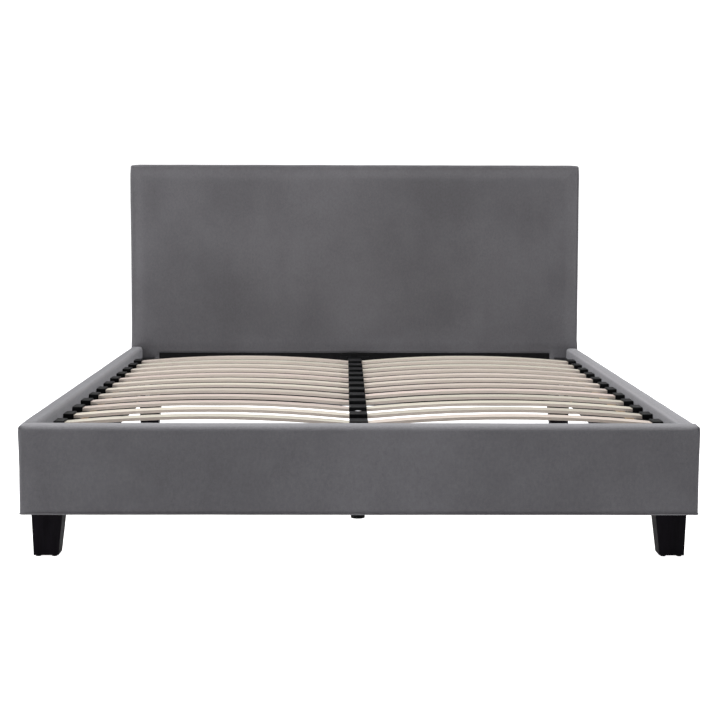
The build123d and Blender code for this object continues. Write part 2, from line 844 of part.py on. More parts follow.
with BuildPart() as leg_glides:
    for places in glide_places.values():
        with Locations(*places):
            Cylinder(glide_radius, glide_thickness, align=(Align.CENTER, Align.CENTER, Align.MIN))
            Cylinder(
                glide_pin_radius,
                glide_thickness + glide_pin - drill_clear,
                align=(Align.CENTER, Align.CENTER, Align.MIN),
            )
leg_glides.part.label = "leg_glides"
export_step(leg_glides.part, "parts/leg_glides.step")

with BuildPart() as leg_bolts:
    with Locations(*leg_bolt_planes.values()):
        Cylinder(bolt_radius, leg_bolt_length, align=(Align.CENTER, Align.CENTER, Align.MAX))
leg_bolts.part.label = "leg_bolts"
export_step(leg_bolts.part, "parts/leg_bolts.step")

with BuildPart() as corner_blocks:
    for side, sign in sides.items():
        box_between(
            (sign * block_x - corner_block / 2, block_y - corner_block / 2, rail_bottom),
            (sign * block_x + corner_block / 2, block_y + corner_block / 2, batten_low),
        )
        drill(block_bolt_planes[side], bolt_radius, block_bolt_length)
        drill([leg_bolt_planes["front", side]], bolt_radius, leg_bolt_length)
corner_blocks.part.label = "corner_blocks"
export_step(corner_blocks.part, "parts/corner_blocks.step")

with BuildPart() as corner_brackets:
    for side, sign in sides.items():
        box_between(
            (sign * bracket_corner_x, headboard_front - bracket_reach, bracket_low),
            (
                sign * (bracket_corner_x - bracket_sheet),
                headboard_front,
                bracket_low + bracket_height,
            ),
        )
        box_between(
            (sign * bracket_corner_x, headboard_front - bracket_sheet, bracket_low),
            (
                sign * (bracket_corner_x - bracket_reach),
                headboard_front,
                bracket_low + bracket_height,
            ),
        )
        drill(rail_bracket_planes[side], bolt_radius, rail_bracket_bolt_length)
        drill(post_bracket_planes[side], bolt_radius, post_bracket_bolt_length)
corner_brackets.part.label = "corner_brackets"
export_step(corner_brackets.part, "parts/corner_brackets.step")

with BuildPart() as rail_bolts:
    for planes, length in (
        (block_bolt_planes, block_bolt_length),
        (rail_bracket_planes, rail_bracket_bolt_length),
        (post_bracket_planes, post_bracket_bolt_length),
    ):
        for side in sides:
            with Locations(*planes[side]):
                add(hex_bolt_head.part)
                Cylinder(bolt_radius, length, align=(Align.CENTER, Align.CENTER, Align.MAX))
rail_bolts.part.label = "rail_bolts"
export_step(rail_bolts.part, "parts/rail_bolts.step")
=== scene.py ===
"""Upholstered bed frame: padded velvet covers, black linings, and finishes on its hard pieces.

Metres: +X to the right seen from the foot, +Y towards the headboard, +Z up from the floor.
Each piece, or group of like pieces, is made by one operator.
"""
import math

import bpy
from bpy.props import FloatProperty, FloatVectorProperty, IntProperty, PointerProperty
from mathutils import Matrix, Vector, noise


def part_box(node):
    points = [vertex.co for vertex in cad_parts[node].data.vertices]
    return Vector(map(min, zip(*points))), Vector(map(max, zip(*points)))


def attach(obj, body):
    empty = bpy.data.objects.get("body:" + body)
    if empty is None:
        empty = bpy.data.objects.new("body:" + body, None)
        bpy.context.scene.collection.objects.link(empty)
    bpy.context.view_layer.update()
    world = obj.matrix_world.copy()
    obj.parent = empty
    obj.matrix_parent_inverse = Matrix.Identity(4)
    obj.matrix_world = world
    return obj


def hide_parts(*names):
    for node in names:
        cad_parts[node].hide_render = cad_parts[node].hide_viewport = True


bl_info = {
    "name": "Upholstered bed frame",
    "version": (1, 0, 0),
    "blender": (4, 5, 0),
    "location": "3D View > Sidebar > Bed frame",
    "description": "Covers, linings, slats and finishes for a velvet bed frame",
    "category": "Object",
}

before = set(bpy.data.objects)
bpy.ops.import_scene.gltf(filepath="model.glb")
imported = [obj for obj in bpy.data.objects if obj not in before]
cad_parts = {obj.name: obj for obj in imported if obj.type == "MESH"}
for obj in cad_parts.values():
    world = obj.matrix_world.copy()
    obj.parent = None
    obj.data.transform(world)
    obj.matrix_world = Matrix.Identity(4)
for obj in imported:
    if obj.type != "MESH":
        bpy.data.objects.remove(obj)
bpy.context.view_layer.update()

BODY = "bed"
SIDES = {"left": -1, "right": 1}
X, Y, Z = 0, 1, 2
FACING = 0.5  # least part of a normal along an axis for a face to look that way
HEM = 0.004  # width of a turned edge that its staples hold
finishes = {}


# ---------------------------------------------------------------- what a user would change
def a_number(name, default, description, **kind):
    return FloatProperty(name=name, default=default, description=description, **kind)


def a_length(name, default, description):
    return a_number(name, default, description, unit="LENGTH")


def an_angle(name, degrees, description):
    return a_number(name, math.radians(degrees), description, subtype="ANGLE")


def a_colour(name, default, description):
    return FloatVectorProperty(name=name, default=default, description=description,
                               subtype="COLOR", size=3)


class BedUpholstery(bpy.types.PropertyGroup):
    """Sizes of the padded covers and of the linings behind them."""

    skin: a_length("Cover thickness", 0.0015, "Velvet with its backing")
    mesh_step: a_length("Mesh step", 0.011, "Distance between the grid lines of a cover")
    head_round: a_length("Headboard rounding", 0.009, "Rounding of the headboard's padded edges")
    rail_round: a_length("Rail rounding", 0.011, "Rounding of the rails' padded tops")
    turned_round: a_length("Turned edge", 0.003, "Rounding where the velvet turns over bare wood")
    swell: a_length("Swell", 0.003, "How far the padding may push the velvet out")
    wave: a_length("Waviness", 0.0009, "Height of the long waves along the edges")
    crown: a_length("Top crown", 0.004, "How much higher the fuller rail tops stand")
    crown_reach: a_length("Crown reach", 0.05, "Width of the sloping band beside a padded edge")
    lining_slack: a_length("Lining slack", 0.003, "How far a lining hangs between its staples")
    staple_pitch: a_length("Staple pitch", 0.045, "Distance between the staples along an edge")


class BedFinish(bpy.types.PropertyGroup):
    """Colours and grain sizes of the finishes."""

    pile_dark: a_colour("Pile, dark", (0.122, 0.119, 0.129), "Velvet with the pile towards the eye")
    pile_light: a_colour("Pile, light", (0.170, 0.167, 0.180),
                         "Velvet with the pile away from the eye")
    # painted sheen: this light grey stands in for the velvet's sheen on lit tops and sides
    painted_sheen_colour: a_colour("Pile, brushed up", (0.45, 0.445, 0.465),
                          "Velvet where its pile stands up along an edge")
    lining_black: a_colour("Lining", (0.005, 0.005, 0.0056), "Black non-woven")
    slat_pale: a_colour("Slat, pale", (0.82, 0.75, 0.695), "Pale growth in the slats' veneer")
    slat_deep: a_colour("Slat, deep", (0.66, 0.555, 0.47), "Darker growth in the slats' veneer")
    plastic_black: a_colour("Moulded plastic", (0.0035, 0.0038, 0.0044),
                            "Slat holders, plugs and feet")
    lacquer_black: a_colour("Leg lacquer", (0.0062, 0.0052, 0.0072),
                            "Black satin lacquer on the legs")
    steel_black: a_colour("Powder coat", (0.006, 0.0063, 0.0072),
                          "Centre rail, ledgers and brackets")
    pine: a_colour("Pine", (0.62, 0.41, 0.21), "Planed pine")
    edge_radius: a_length("Slat edge", 0.0032, "Rounding of the slats' long edges")
    ply_count: IntProperty(name="Plies", default=7, description="Layers of veneer in a slat")


class BedStage(bpy.types.PropertyGroup):
    """Camera, floor and studio light."""

    camera_place: FloatVectorProperty(name="Camera", default=(-0.031, -4.628, 0.7544), size=3,
                                      subtype="TRANSLATION", description="Place of the camera")
    camera_down: an_angle("Looks down", 5.25, "Angle of the view below the horizon")
    camera_turn: an_angle("Turns right", 0.47, "Angle of the view to the right")
    camera_roll: an_angle("Rolls", -0.12, "Angle of the view about its own axis")
    camera_lens: a_number("Lens", 86.8, "Focal length", subtype="DISTANCE_CAMERA")
    floor_size: a_length("Floor", 80.0, "Width of the pale floor")
    floor_glow: a_number("Floor glow", 0.95,
                         "Brightness added to the floor where it is seen directly")
    backdrop: a_number("Backdrop", 1.15, "Brightness of the empty background")
    ambient: a_number("Ambient", 0.30, "Brightness of the light from all round")


def settings(name):
    """The scene's own copy of one property group."""
    return getattr(bpy.context.scene, name)


# ---------------------------------------------------------------- meshes
def smooth_step(value):
    """0 below 0, 1 above 1, and an even slope between."""
    t = min(1.0, max(0.0, value))
    return t * t * (3 - 2 * t)


def fade(distance, reach):
    """1 at no distance and 0 from the reach on."""
    return 1 - smooth_step(distance / reach)


def grid_lines(low, high, step, margins, cuts):
    """Places of the grid lines on one axis, closer in the two margins, with one at each cut."""
    parts_of_margin = 4
    marks = sorted({low, low + margins[0], high - margins[1], high, *cuts})
    lines = [low]
    for start, end in zip(marks, marks[1:]):
        in_margin = end <= low + margins[0] + 1e-6 or start >= high - margins[1] - 1e-6
        parts = parts_of_margin if in_margin else max(1, math.ceil((end - start) / step))
        lines += [start + (end - start) * n / parts for n in range(1, parts + 1)]
    return lines


def box_shell(low, high, step, margins, cuts, keep):
    """Points and quads over a box's six sides. keep(middle, axis, sign) says which quads stay."""
    lines = [grid_lines(low[a], high[a], step, margins[a], cuts[a]) for a in range(3)]
    index, points, quads = {}, [], []

    def point(key):
        if key not in index:
            index[key] = len(points)
            points.append(Vector(lines[a][key[a]] for a in range(3)))
        return index[key]

    for axis in range(3):
        u, v = [a for a in range(3) if a != axis]
        for sign, end in ((-1, 0), (1, len(lines[axis]) - 1)):
            for i in range(len(lines[u]) - 1):
                for j in range(len(lines[v]) - 1):
                    middle = Vector((0, 0, 0))
                    middle[axis] = lines[axis][end]
                    middle[u] = (lines[u][i] + lines[u][i + 1]) / 2
                    middle[v] = (lines[v][j] + lines[v][j + 1]) / 2
                    if not keep(middle, axis, sign):
                        continue
                    corners = []
                    for di, dj in ((0, 0), (1, 0), (1, 1), (0, 1)):
                        key = [0, 0, 0]
                        key[axis], key[u], key[v] = end, i + di, j + dj
                        corners.append(point(tuple(key)))
                    turn = sign * (1 if axis != Y else -1)
                    quads.append(corners if turn > 0 else corners[::-1])
    return points, quads


def round_off(point, low, high, margins):
    """Moves a point of a box's surface onto the same box with rounded edges."""
    core = Vector(
        min(max(point[a], low[a] + margins[a][0]), high[a] - margins[a][1]) for a in range(3)
    )
    share = Vector((0, 0, 0))
    for a in range(3):
        reach = point[a] - core[a]
        margin = margins[a][0] if reach < 0 else margins[a][1]
        share[a] = reach / margin if margin else 0.0
    if share.length < 1e-9:
        return point.copy()
    scale = max(abs(s) for s in share) / share.length
    return Vector(core[a] + (point[a] - core[a]) * scale for a in range(3))


def make_mesh(name, points, faces, smooth=True):
    """A new object with a mesh of these points and faces."""
    mesh = bpy.data.meshes.new(name)
    mesh.from_pydata([tuple(p) for p in points], [], faces)
    mesh.update()
    if smooth:
        mesh.polygons.foreach_set("use_smooth", [True] * len(mesh.polygons))
    piece = bpy.data.objects.new(name, mesh)
    bpy.context.scene.collection.objects.link(piece)
    return piece


def thicken(piece, depth):
    """Gives a sheet its thickness, on the side that its faces look away from."""
    solid = piece.modifiers.new("Thickness", "SOLIDIFY")
    solid.thickness = depth
    solid.offset = -1


def swell(piece, held, limit):
    """Lets padding push the velvet out: a cloth simulation, with the points in held kept still."""
    stiffness, pressure, frames = 12, 3.0, 14
    mesh = piece.data
    start = [v.co.copy() for v in mesh.vertices]
    normals = [v.normal.copy() for v in mesh.vertices]
    pins = piece.vertex_groups.new(name="Held")
    pins.add(held, 1.0, "REPLACE")
    cloth = piece.modifiers.new("Swell", "CLOTH")
    cloth.settings.vertex_group_mass = "Held"
    cloth.settings.quality = 4
    cloth.settings.mass = 0.25
    cloth.settings.tension_stiffness = stiffness
    cloth.settings.compression_stiffness = stiffness
    cloth.settings.shear_stiffness = stiffness / 3
    cloth.settings.bending_stiffness = 0.6
    cloth.settings.air_damping = 4
    cloth.settings.use_pressure = True
    cloth.settings.uniform_pressure_force = pressure
    cloth.settings.effector_weights.gravity = 0
    cloth.collision_settings.use_collision = False
    cloth.point_cache.frame_start = 1
    cloth.point_cache.frame_end = frames
    scene = bpy.context.scene
    for number in range(1, frames + 1):
        scene.frame_set(number)
    shape = piece.evaluated_get(bpy.context.evaluated_depsgraph_get())
    moved = [v.co.copy() for v in shape.data.vertices]
    piece.modifiers.remove(cloth)
    piece.vertex_groups.remove(pins)
    scene.frame_set(1)
    for vertex, before, after, normal in zip(mesh.vertices, start, moved, normals):
        shift = after - before
        if not math.isfinite(shift.length):
            raise RuntimeError(f"{piece.name}: the cloth simulation failed")
        # the foam behind the velvet lets it move out, and not in
        shift -= normal * min(0.0, shift.dot(normal))
        # the foam resists more and more, so the shift levels off at the limit
        size = shift.length
        if size > 1e-9:
            vertex.co = before + shift * (limit * math.tanh(size / limit) / size)
    mesh.update()


def shape_cover(name, node_box, margins, cuts, keep, dip, held, lift, rise=None):
    """A padded cover: a rounded shell, shaped by dip(point, normal), then swollen by its foam.

    lift(point, normal) is the share of painted sheen there: 1 where the velvet is painted lighter,
    as if it caught the light. rise(point) is how much higher the padding stands there. held(point)
    says which points the foam can't move.
    """
    look = settings("bed_upholstery")
    low, high = node_box
    points, quads = box_shell(low, high, look.mesh_step, margins, cuts, keep)
    rounded = [round_off(p, low, high, margins) for p in points]
    piece = make_mesh(name, rounded, quads)
    normals = [v.normal.copy() for v in piece.data.vertices]
    still = []
    painted_sheen_amount = piece.data.attributes.new("painted_sheen_share", "FLOAT", "POINT")
    for vertex, flat, normal in zip(piece.data.vertices, points, normals):
        vertex.co -= normal * dip(flat, normal)
        # painted sheen: how much of the light sheen colour the velvet gets at this point
        painted_sheen_amount.data[vertex.index].value = lift(flat, normal)
        if rise:
            vertex.co.z += rise(flat)
        if held(flat):
            still.append(vertex.index)
    edge_use = {}
    for quad in piece.data.polygons:
        for key in quad.edge_keys:
            edge_use[key] = edge_use.get(key, 0) + 1
    still += [i for key, uses in edge_use.items() if uses == 1 for i in key]
    piece.data.update()
    swell(piece, sorted(set(still)), look.swell)
    thicken(piece, look.skin)
    return piece


def long_wave(point, seed, size):
    """Smooth waves of about that size, from -1 to 1, the same each time."""
    place = Vector(point) / size + Vector((seed * 7.3, seed * 3.1, seed * 5.7))
    return noise.noise(place)


# ---------------------------------------------------------------- shader building
class Net:
    """Adds nodes to one shader tree. A value is a number, a colour or another node's output."""

    def __init__(self, tree):
        self.tree = tree

    def feed(self, socket, value):
        """Links an output to a socket, or sets its value."""
        if isinstance(value, bpy.types.NodeSocket):
            self.tree.links.new(value, socket)
        elif socket.type == "RGBA" and len(value) == 3:
            socket.default_value = (*value, 1.0)
        else:
            socket.default_value = value

    def feed_all(self, sockets, values):
        for key, value in values.items():
            self.feed(sockets[key], value)

    def put(self, kind, sockets=None, **fields):
        """Adds a node, sets its fields, and feeds its sockets."""
        node = self.tree.nodes.new("ShaderNode" + kind)
        for key, value in fields.items():
            setattr(node, key, value)
        self.feed_all(node.inputs, sockets or {})
        return node

    def maths(self, operation, first, *others, clamp=False):
        """The first value taken through one Math node after another; the last one may clamp."""
        others = others or (0.0,)
        for number, value in enumerate(others, 1):
            last = number == len(others)
            first = self.put("Math", {0: first, 1: value}, operation=operation,
                             use_clamp=clamp and last).outputs[0]
        return first

    def plus(self, *values, clamp=False):
        return self.maths("ADD", *values, clamp=clamp)

    def minus(self, first, second):
        return self.maths("SUBTRACT", first, second)

    def times(self, *values, clamp=False):
        return self.maths("MULTIPLY", *values, clamp=clamp)

    def divide(self, first, second):
        return self.maths("DIVIDE", first, second)

    def size_of(self, value):
        return self.maths("ABSOLUTE", value)

    def mix(self, factor, first, second, mode="MIX"):
        """Output of a colour mix."""
        sockets = {0: factor, 6: first, 7: second}
        return self.put("Mix", sockets, data_type="RGBA", blend_type=mode).outputs[2]

    def spread(self, value, low, high, to_low=0.0, to_high=1.0):
        """Value mapped from one range to another, and kept inside it."""
        sockets = {"Value": value, "From Min": low, "From Max": high,
                   "To Min": to_low, "To Max": to_high}
        return self.put("MapRange", sockets, clamp=True).outputs["Result"]

    def blend(self, share, to_low, to_high):
        """A value that goes from one end to the other as the share goes from 0 to 1."""
        return self.spread(share, 0.0, 1.0, to_low, to_high)

    def noise(self, vector, scale, detail=2.0, roughness=0.5, distortion=0.0):
        """Noise with that many lumps to the metre."""
        sockets = {"Vector": vector, "Scale": scale, "Detail": detail, "Roughness": roughness,
                   "Distortion": distortion}
        return self.put("TexNoise", sockets).outputs["Fac"]

    def speckle(self, vector, size, detail, roughness):
        """Noise whose lumps have about that size."""
        return self.noise(vector, 1 / size, detail, roughness)

    def cells(self, vector, scale, sockets=None, **fields):
        """Outputs of a cell pattern."""
        return self.put("TexVoronoi", {"Vector": vector, "Scale": scale, **(sockets or {})},
                        **fields).outputs

    def on_vector(self, operation, vector, other):
        return self.put("VectorMath", {0: vector, 1: other}, operation=operation).outputs[0]

    def scaled(self, vector, factors):
        """The vector with each of its parts multiplied."""
        return self.on_vector("MULTIPLY", vector, factors)

    def toned(self, colour, factor):
        """The colour, darker or lighter."""
        return self.put("VectorMath", {0: colour, "Scale": factor}, operation="SCALE").outputs[0]

    def axes(self, vector):
        return self.put("SeparateXYZ", {0: vector}).outputs

    def channels(self, colour):
        return self.put("SeparateColor", {0: colour}).outputs

    def normal(self):
        return self.put("NewGeometry").outputs["Normal"]


class Finish(Net):
    """A new material: its Principled shader, and the place on the object."""

    def __init__(self, name):
        self.material = finishes[name] = bpy.data.materials.new(f"{name}_finish")
        self.material.use_nodes = True
        super().__init__(self.material.node_tree)
        self.tree.nodes.clear()
        self.shader = self.put("BsdfPrincipled")
        self.put("OutputMaterial", {"Surface": self.shader.outputs[0]}).is_active_output = True
        self.place = self.put("TexCoord").outputs["Object"]

    def group(self, name, **sockets):
        """Places a node group at the place on the object, and feeds it."""
        node = self.put("Group", node_tree=bpy.data.node_groups[name])
        self.feed_all(node.inputs, {"Vector": self.place, **sockets})
        return node.outputs

    def set_shader(self, sockets):
        self.feed_all(self.shader.inputs, sockets)

    def bump(self, height, distance, strength, before=None):
        """Puts a height through a Bump node into the shader's normal."""
        node = self.put("Bump", {"Height": height, "Distance": distance, "Strength": strength})
        if before is not None:
            self.feed(node.inputs["Normal"], before)
        self.feed(self.shader.inputs["Normal"], node.outputs[0])
        return node.outputs[0]


def tinted(colour, factor, lift=0.0):
    """A colour made darker or lighter, and never over 1."""
    return [min(1.0, c * factor + lift) for c in colour]


def new_group(name, inputs, outputs):
    """A node group with a Vector and these inputs, and with outputs that vary over the surface."""
    tree = bpy.data.node_groups.new(name, "ShaderNodeTree")
    tree.interface.new_socket(name="Vector", in_out="INPUT", socket_type="NodeSocketVector")
    for label, value in inputs.items():
        kind = "Vector" if isinstance(value, tuple) else "Float"
        socket = tree.interface.new_socket(name=label, in_out="INPUT",
                                           socket_type=f"NodeSocket{kind}")
        socket.default_value = value
    for label in outputs:
        tree.interface.new_socket(name=label, in_out="OUTPUT", socket_type="NodeSocketFloat")
    given = tree.nodes.new("NodeGroupInput").outputs
    return Net(tree), given, given["Vector"], tree.nodes.new("NodeGroupOutput").inputs


def build_nap_group():
    """Soft light and dark of a brushed pile: broad patches, pressed blocks and crush marks."""
    net, given, vector, result = new_group(
        "Nap", {"Patch": 4.0, "Crush": 26.0, "Streak": 0.4}, ("Shade", "Pile"))
    patch = given["Patch"]
    broad = net.noise(vector, patch, 3.0, 0.55)
    brushed = net.scaled(vector, (1.0, 1.0, 0.18))
    streaks = net.noise(brushed, net.times(patch, 3.2), 2.0, 0.6)
    blocks = net.cells(vector, patch, {"Smoothness": 0.35}, feature="SMOOTH_F1",
                       distance="CHEBYCHEV")["Distance"]
    crush = net.noise(vector, given["Crush"], 4.0, 0.62)
    tilt = net.times(net.minus(streaks, 0.5), given["Streak"])
    base = net.plus(net.spread(broad, 0.22, 0.78), tilt)
    pressed = net.times(net.minus(blocks, 0.45), 0.75)
    small = net.times(net.minus(crush, 0.5), 0.45)
    net.feed_all(result, {"Shade": net.plus(base, pressed, small, clamp=True), "Pile": crush})


def build_fibre_group():
    """Fine tips of a pile or a felted cloth, with a darker root between them."""
    net, given, vector, result = new_group(
        "Fibre", {"Size": 0.0008, "Stretch": (1, 1, 1)}, ("Tip", "Height"))
    drawn = net.scaled(vector, given["Stretch"])
    scale = net.divide(1.0, given["Size"])
    fine = net.noise(drawn, scale, 2.0, 0.7)
    coarse = net.noise(drawn, net.divide(scale, 5.0))
    height = net.plus(net.times(fine, 0.7), net.times(coarse, 0.3))
    net.feed_all(result, {"Tip": net.spread(height, 0.35, 0.65), "Height": height})


def build_timber_group():
    """Long growth lines with pores and a few small knots, drawn out by the stretch."""
    net, given, vector, result = new_group(
        "Timber", {"Stretch": (0.06, 1, 1), "Line": 90.0, "Knots": 0.0, "Shift": 0.0},
        ("Grain", "Pore", "Knot", "Height"))
    offset = net.put("CombineXYZ", {axis: given["Shift"] for axis in range(3)}).outputs[0]
    moved = net.on_vector("ADD", vector, offset)
    drawn = net.scaled(moved, given["Stretch"])
    bend = net.noise(drawn, 14.0)
    wide = net.noise(drawn, given["Line"], 3.0, 0.6, 0.4)
    narrow = net.noise(drawn, net.times(given["Line"], 5.0), 3.0, 0.7)
    grain = net.plus(net.times(wide, 0.55), net.times(narrow, 0.25), net.times(bend, 0.2))
    cells = net.cells(net.scaled(moved, (1.0, 1.6, 1.6)), 7.0)
    knot = net.spread(cells["Distance"], 0.03, 0.055, 1.0, 0.0)
    chance = net.spread(net.channels(cells["Color"])[0], 0.45, 0.5)
    net.feed_all(result, {
        "Grain": net.spread(grain, 0.36, 0.64),
        "Pore": net.spread(narrow, 0.36, 0.46, 1.0, 0.0),
        "Knot": net.times(knot, chance, given["Knots"]),
        "Height": narrow,
    })


def build_wear_group():
    """1 along the sharp edges of a piece and 0 on its flat faces, broken up by noise."""
    net, given, vector, result = new_group("Edge wear", {"Radius": 0.002, "Amount": 1.0}, ("Wear",))
    bevel = net.put("Bevel", {"Radius": given["Radius"]}, samples=4).outputs[0]
    same = net.put("VectorMath", {0: bevel, 1: net.normal()}, operation="DOT_PRODUCT")
    edge = net.spread(net.minus(1.0, same.outputs["Value"]), 0.01, 0.16)
    broken = net.spread(net.speckle(vector, 0.012, 5.0, 0.65), 0.4, 0.62)
    net.feed(result["Wear"], net.times(edge, broken, given["Amount"], clamp=True))


def build_moulded_group():
    """The fine skin of moulded plastic or powder coat, with smoother rubbed areas."""
    net, given, vector, result = new_group("Moulded skin", {"Size": 0.0009}, ("Height", "Polish"))
    pits = net.cells(vector, net.divide(1.0, given["Size"]))["Distance"]
    polish = net.spread(net.noise(vector, 35.0, 4.0), 0.35, 0.65)
    net.feed_all(result, {"Height": pits, "Polish": polish})


def build_dust_group():
    """A thin film of dust on what faces up."""
    net, given, vector, result = new_group("Dust", {"Amount": 0.3}, ("Mask",))
    facing = net.spread(net.axes(net.normal())[2], 0.5, 0.95)
    drift = net.spread(net.speckle(vector, 0.03, 6.0, 0.7), 0.3, 0.75)
    net.feed(result["Mask"], net.times(facing, drift, given["Amount"]))


# ---------------------------------------------------------------- finishes
def velvet():
    """Short-pile grey velvet, with painted sheen where a cover's painted_sheen_share says so."""
    look = settings("bed_finish")
    net = Finish("velvet")
    nap = net.group("Nap", Patch=3.6, Crush=24.0, Streak=0.55)
    fibre = net.group("Fibre", Size=0.0011, Stretch=(1, 1, 0.7))
    painted_sheen_amount = net.put("Attribute", attribute_name="painted_sheen_share").outputs["Fac"]
    pile = net.mix(nap["Shade"], look.pile_dark, look.pile_light)
    # painted sheen: mixes the pile towards a light grey where the cover asks for it
    pile = net.mix(net.times(painted_sheen_amount, 0.6), pile, look.painted_sheen_colour)
    net.set_shader({
        "Base Color": net.toned(pile, net.blend(fibre["Tip"], 0.84, 1.12)),
        "Roughness": net.blend(nap["Shade"], 0.78, 0.92),
        "Specular IOR Level": 0.25,
        "Sheen Weight": 0.9,
        "Sheen Roughness": 0.3,
        "Sheen Tint": (0.78, 0.78, 0.82),
    })
    coarse = net.bump(nap["Pile"], 0.0016, 0.5)
    net.bump(fibre["Height"], 0.0005, 0.55, before=coarse)


def non_woven():
    """Thin black spun-bonded cloth, with its embossed dots."""
    base = settings("bed_finish").lining_black
    net = Finish("black_lining")
    fibre = net.group("Fibre", Size=0.0016, Stretch=(1, 1, 1))
    dots = net.cells(net.place, 420.0, {"Randomness": 0.15})["Distance"]
    pressed = net.spread(dots, 0.12, 0.3)
    cloud = net.spread(net.speckle(net.place, 0.05, 4.0, 0.6), 0.4, 0.7)
    tint = net.mix(fibre["Tip"], tinted(base, 0.6), tinted(base, 1.9))
    tint = net.mix(net.times(cloud, 0.5), tint, tinted(base, 2.6))
    net.set_shader({"Base Color": tint, "Roughness": net.blend(pressed, 0.55, 0.85),
                    "Specular IOR Level": 0.15})
    coarse = net.bump(pressed, 0.0002, 0.5)
    net.bump(fibre["Height"], 0.0004, 0.4, before=coarse)


def slat_face(net, timber, own):
    """Veneer on the wide faces: own tone and cast for each slat, pores and knots."""
    look = settings("bed_finish")
    face = net.mix(timber["Grain"], look.slat_deep, look.slat_pale)
    face = net.mix(0.62, face, look.slat_pale)
    # some slats are pinker, some greener
    cast = net.mix(own[0], (0.86, 0.90, 0.80), (1.0, 0.88, 0.88))
    face = net.mix(0.75, face, net.mix(1.0, face, cast, "MULTIPLY"))
    face = net.toned(face, net.blend(own[1], 0.86, 1.1))
    face = net.mix(net.times(timber["Pore"], 0.22), face, (0.30, 0.20, 0.13))
    return net.mix(net.times(timber["Knot"], 0.8), face, (0.10, 0.055, 0.03))


def slat_edge(net, place, bow):
    """Plies and glue lines on the cut edges, which follow the slat's bow."""
    along = net.divide(net.minus(net.size_of(place[X]), bow["middle"]), bow["half"])
    arch = net.times(net.minus(1.0, net.times(along, along)), bow["crown"])
    height = net.minus(net.minus(place[Z], bow["low"]), net.maths("MAXIMUM", arch, 0.0))
    layer = net.times(height, settings("bed_finish").ply_count / bow["thickness"])
    # an even number keeps the count of the layers above 0
    ply = net.maths("MODULO", net.plus(net.maths("FLOOR", layer), 20.0), 2.0)
    glue = net.spread(net.size_of(net.minus(net.maths("FRACT", layer), 0.5)), 0.40, 0.49)
    edge = net.mix(ply, (0.88, 0.79, 0.72), (0.76, 0.65, 0.57))
    edge = net.mix(net.times(glue, 0.45), edge, (0.24, 0.16, 0.11))
    flakes = net.speckle(net.scaled(net.place, (0.25, 1.0, 1.0)), 0.0015, 3.0, 0.7)
    return net.mix(net.times(net.spread(flakes, 0.45, 0.7), 0.35), edge, (0.70, 0.60, 0.50))


def slat_veneer(bow):
    """Pale laminated veneer with small knots, and its plies along the cut edges."""
    net = Finish("slat_plywood")
    place = net.axes(net.place)
    # each slat has its own growth and tone: one number per row and side
    row = net.maths("FLOOR", net.divide(net.minus(place[Y], bow["first_y"]), bow["pitch"]))
    number = net.plus(net.times(row, 2.0), net.maths("GREATER_THAN", place[X], 0.0))
    own = net.put("TexWhiteNoise", {"W": number}, noise_dimensions="1D").outputs
    timber = net.group("Timber", Stretch=(0.045, 1.0, 0.35), Line=55.0, Knots=1.0,
                       Shift=net.times(own["Value"], 37.0))
    face = slat_face(net, timber, net.channels(own["Color"]))
    edge = slat_edge(net, place, bow)
    upright = net.spread(net.size_of(net.axes(net.normal())[Z]), 0.55, 0.8, 1.0, 0.0)
    worn = net.group("Edge wear", Radius=0.0015, Amount=0.5)["Wear"]
    tint = net.mix(net.times(worn, 0.5), net.mix(upright, face, edge), (0.86, 0.78, 0.68))
    net.set_shader({"Base Color": tint, "Roughness": net.blend(timber["Grain"], 0.52, 0.40),
                    "Coat Weight": 0.12, "Coat Roughness": 0.3})
    net.bump(timber["Height"], 0.0003, 0.35)


def dark_skin(name, dark, light, worn, dusty, grain, wear, dust, relief):
    """A fine-grained dark skin, rubbed at its edges and a little dusty. Gives its edge wear.

    The colours are those of its dark and light areas, of its worn edges and of its dust.
    """
    net = Finish(name)
    skin = net.group("Moulded skin", Size=grain)
    edges = net.group("Edge wear", Radius=wear[0], Amount=wear[1])["Wear"]
    tint = net.mix(edges, net.mix(skin["Polish"], dark, light), worn)
    tint = net.mix(net.group("Dust", Amount=dust)["Mask"], tint, dusty)
    net.set_shader({"Base Color": tint, "Roughness": net.blend(skin["Polish"], 0.34, 0.5),
                    "Specular IOR Level": 0.16})
    net.bump(skin["Height"], *relief)
    return net, edges


def moulded_plastic(name, base, grain):
    """Moulded plastic with a fine grain."""
    dark_skin(name, tinted(base, 0.75), tinted(base, 1.3), tinted(base, 3.5, 0.004),
              (0.30, 0.29, 0.28), grain, wear=(0.0012, 0.8), dust=0.03, relief=(0.00012, 0.5))


def powder_coat():
    """Black powder coat on steel: fine orange peel, worn to the metal at a few edges."""
    base = settings("bed_finish").steel_black
    net, edges = dark_skin("black_steel", tinted(base, 0.8), tinted(base, 1.3), (0.20, 0.20, 0.21),
                           (0.30, 0.29, 0.27), 0.0022, wear=(0.0010, 0.45), dust=0.04,
                           relief=(0.0002, 0.35))
    net.set_shader({"Metallic": net.times(edges, 0.8)})


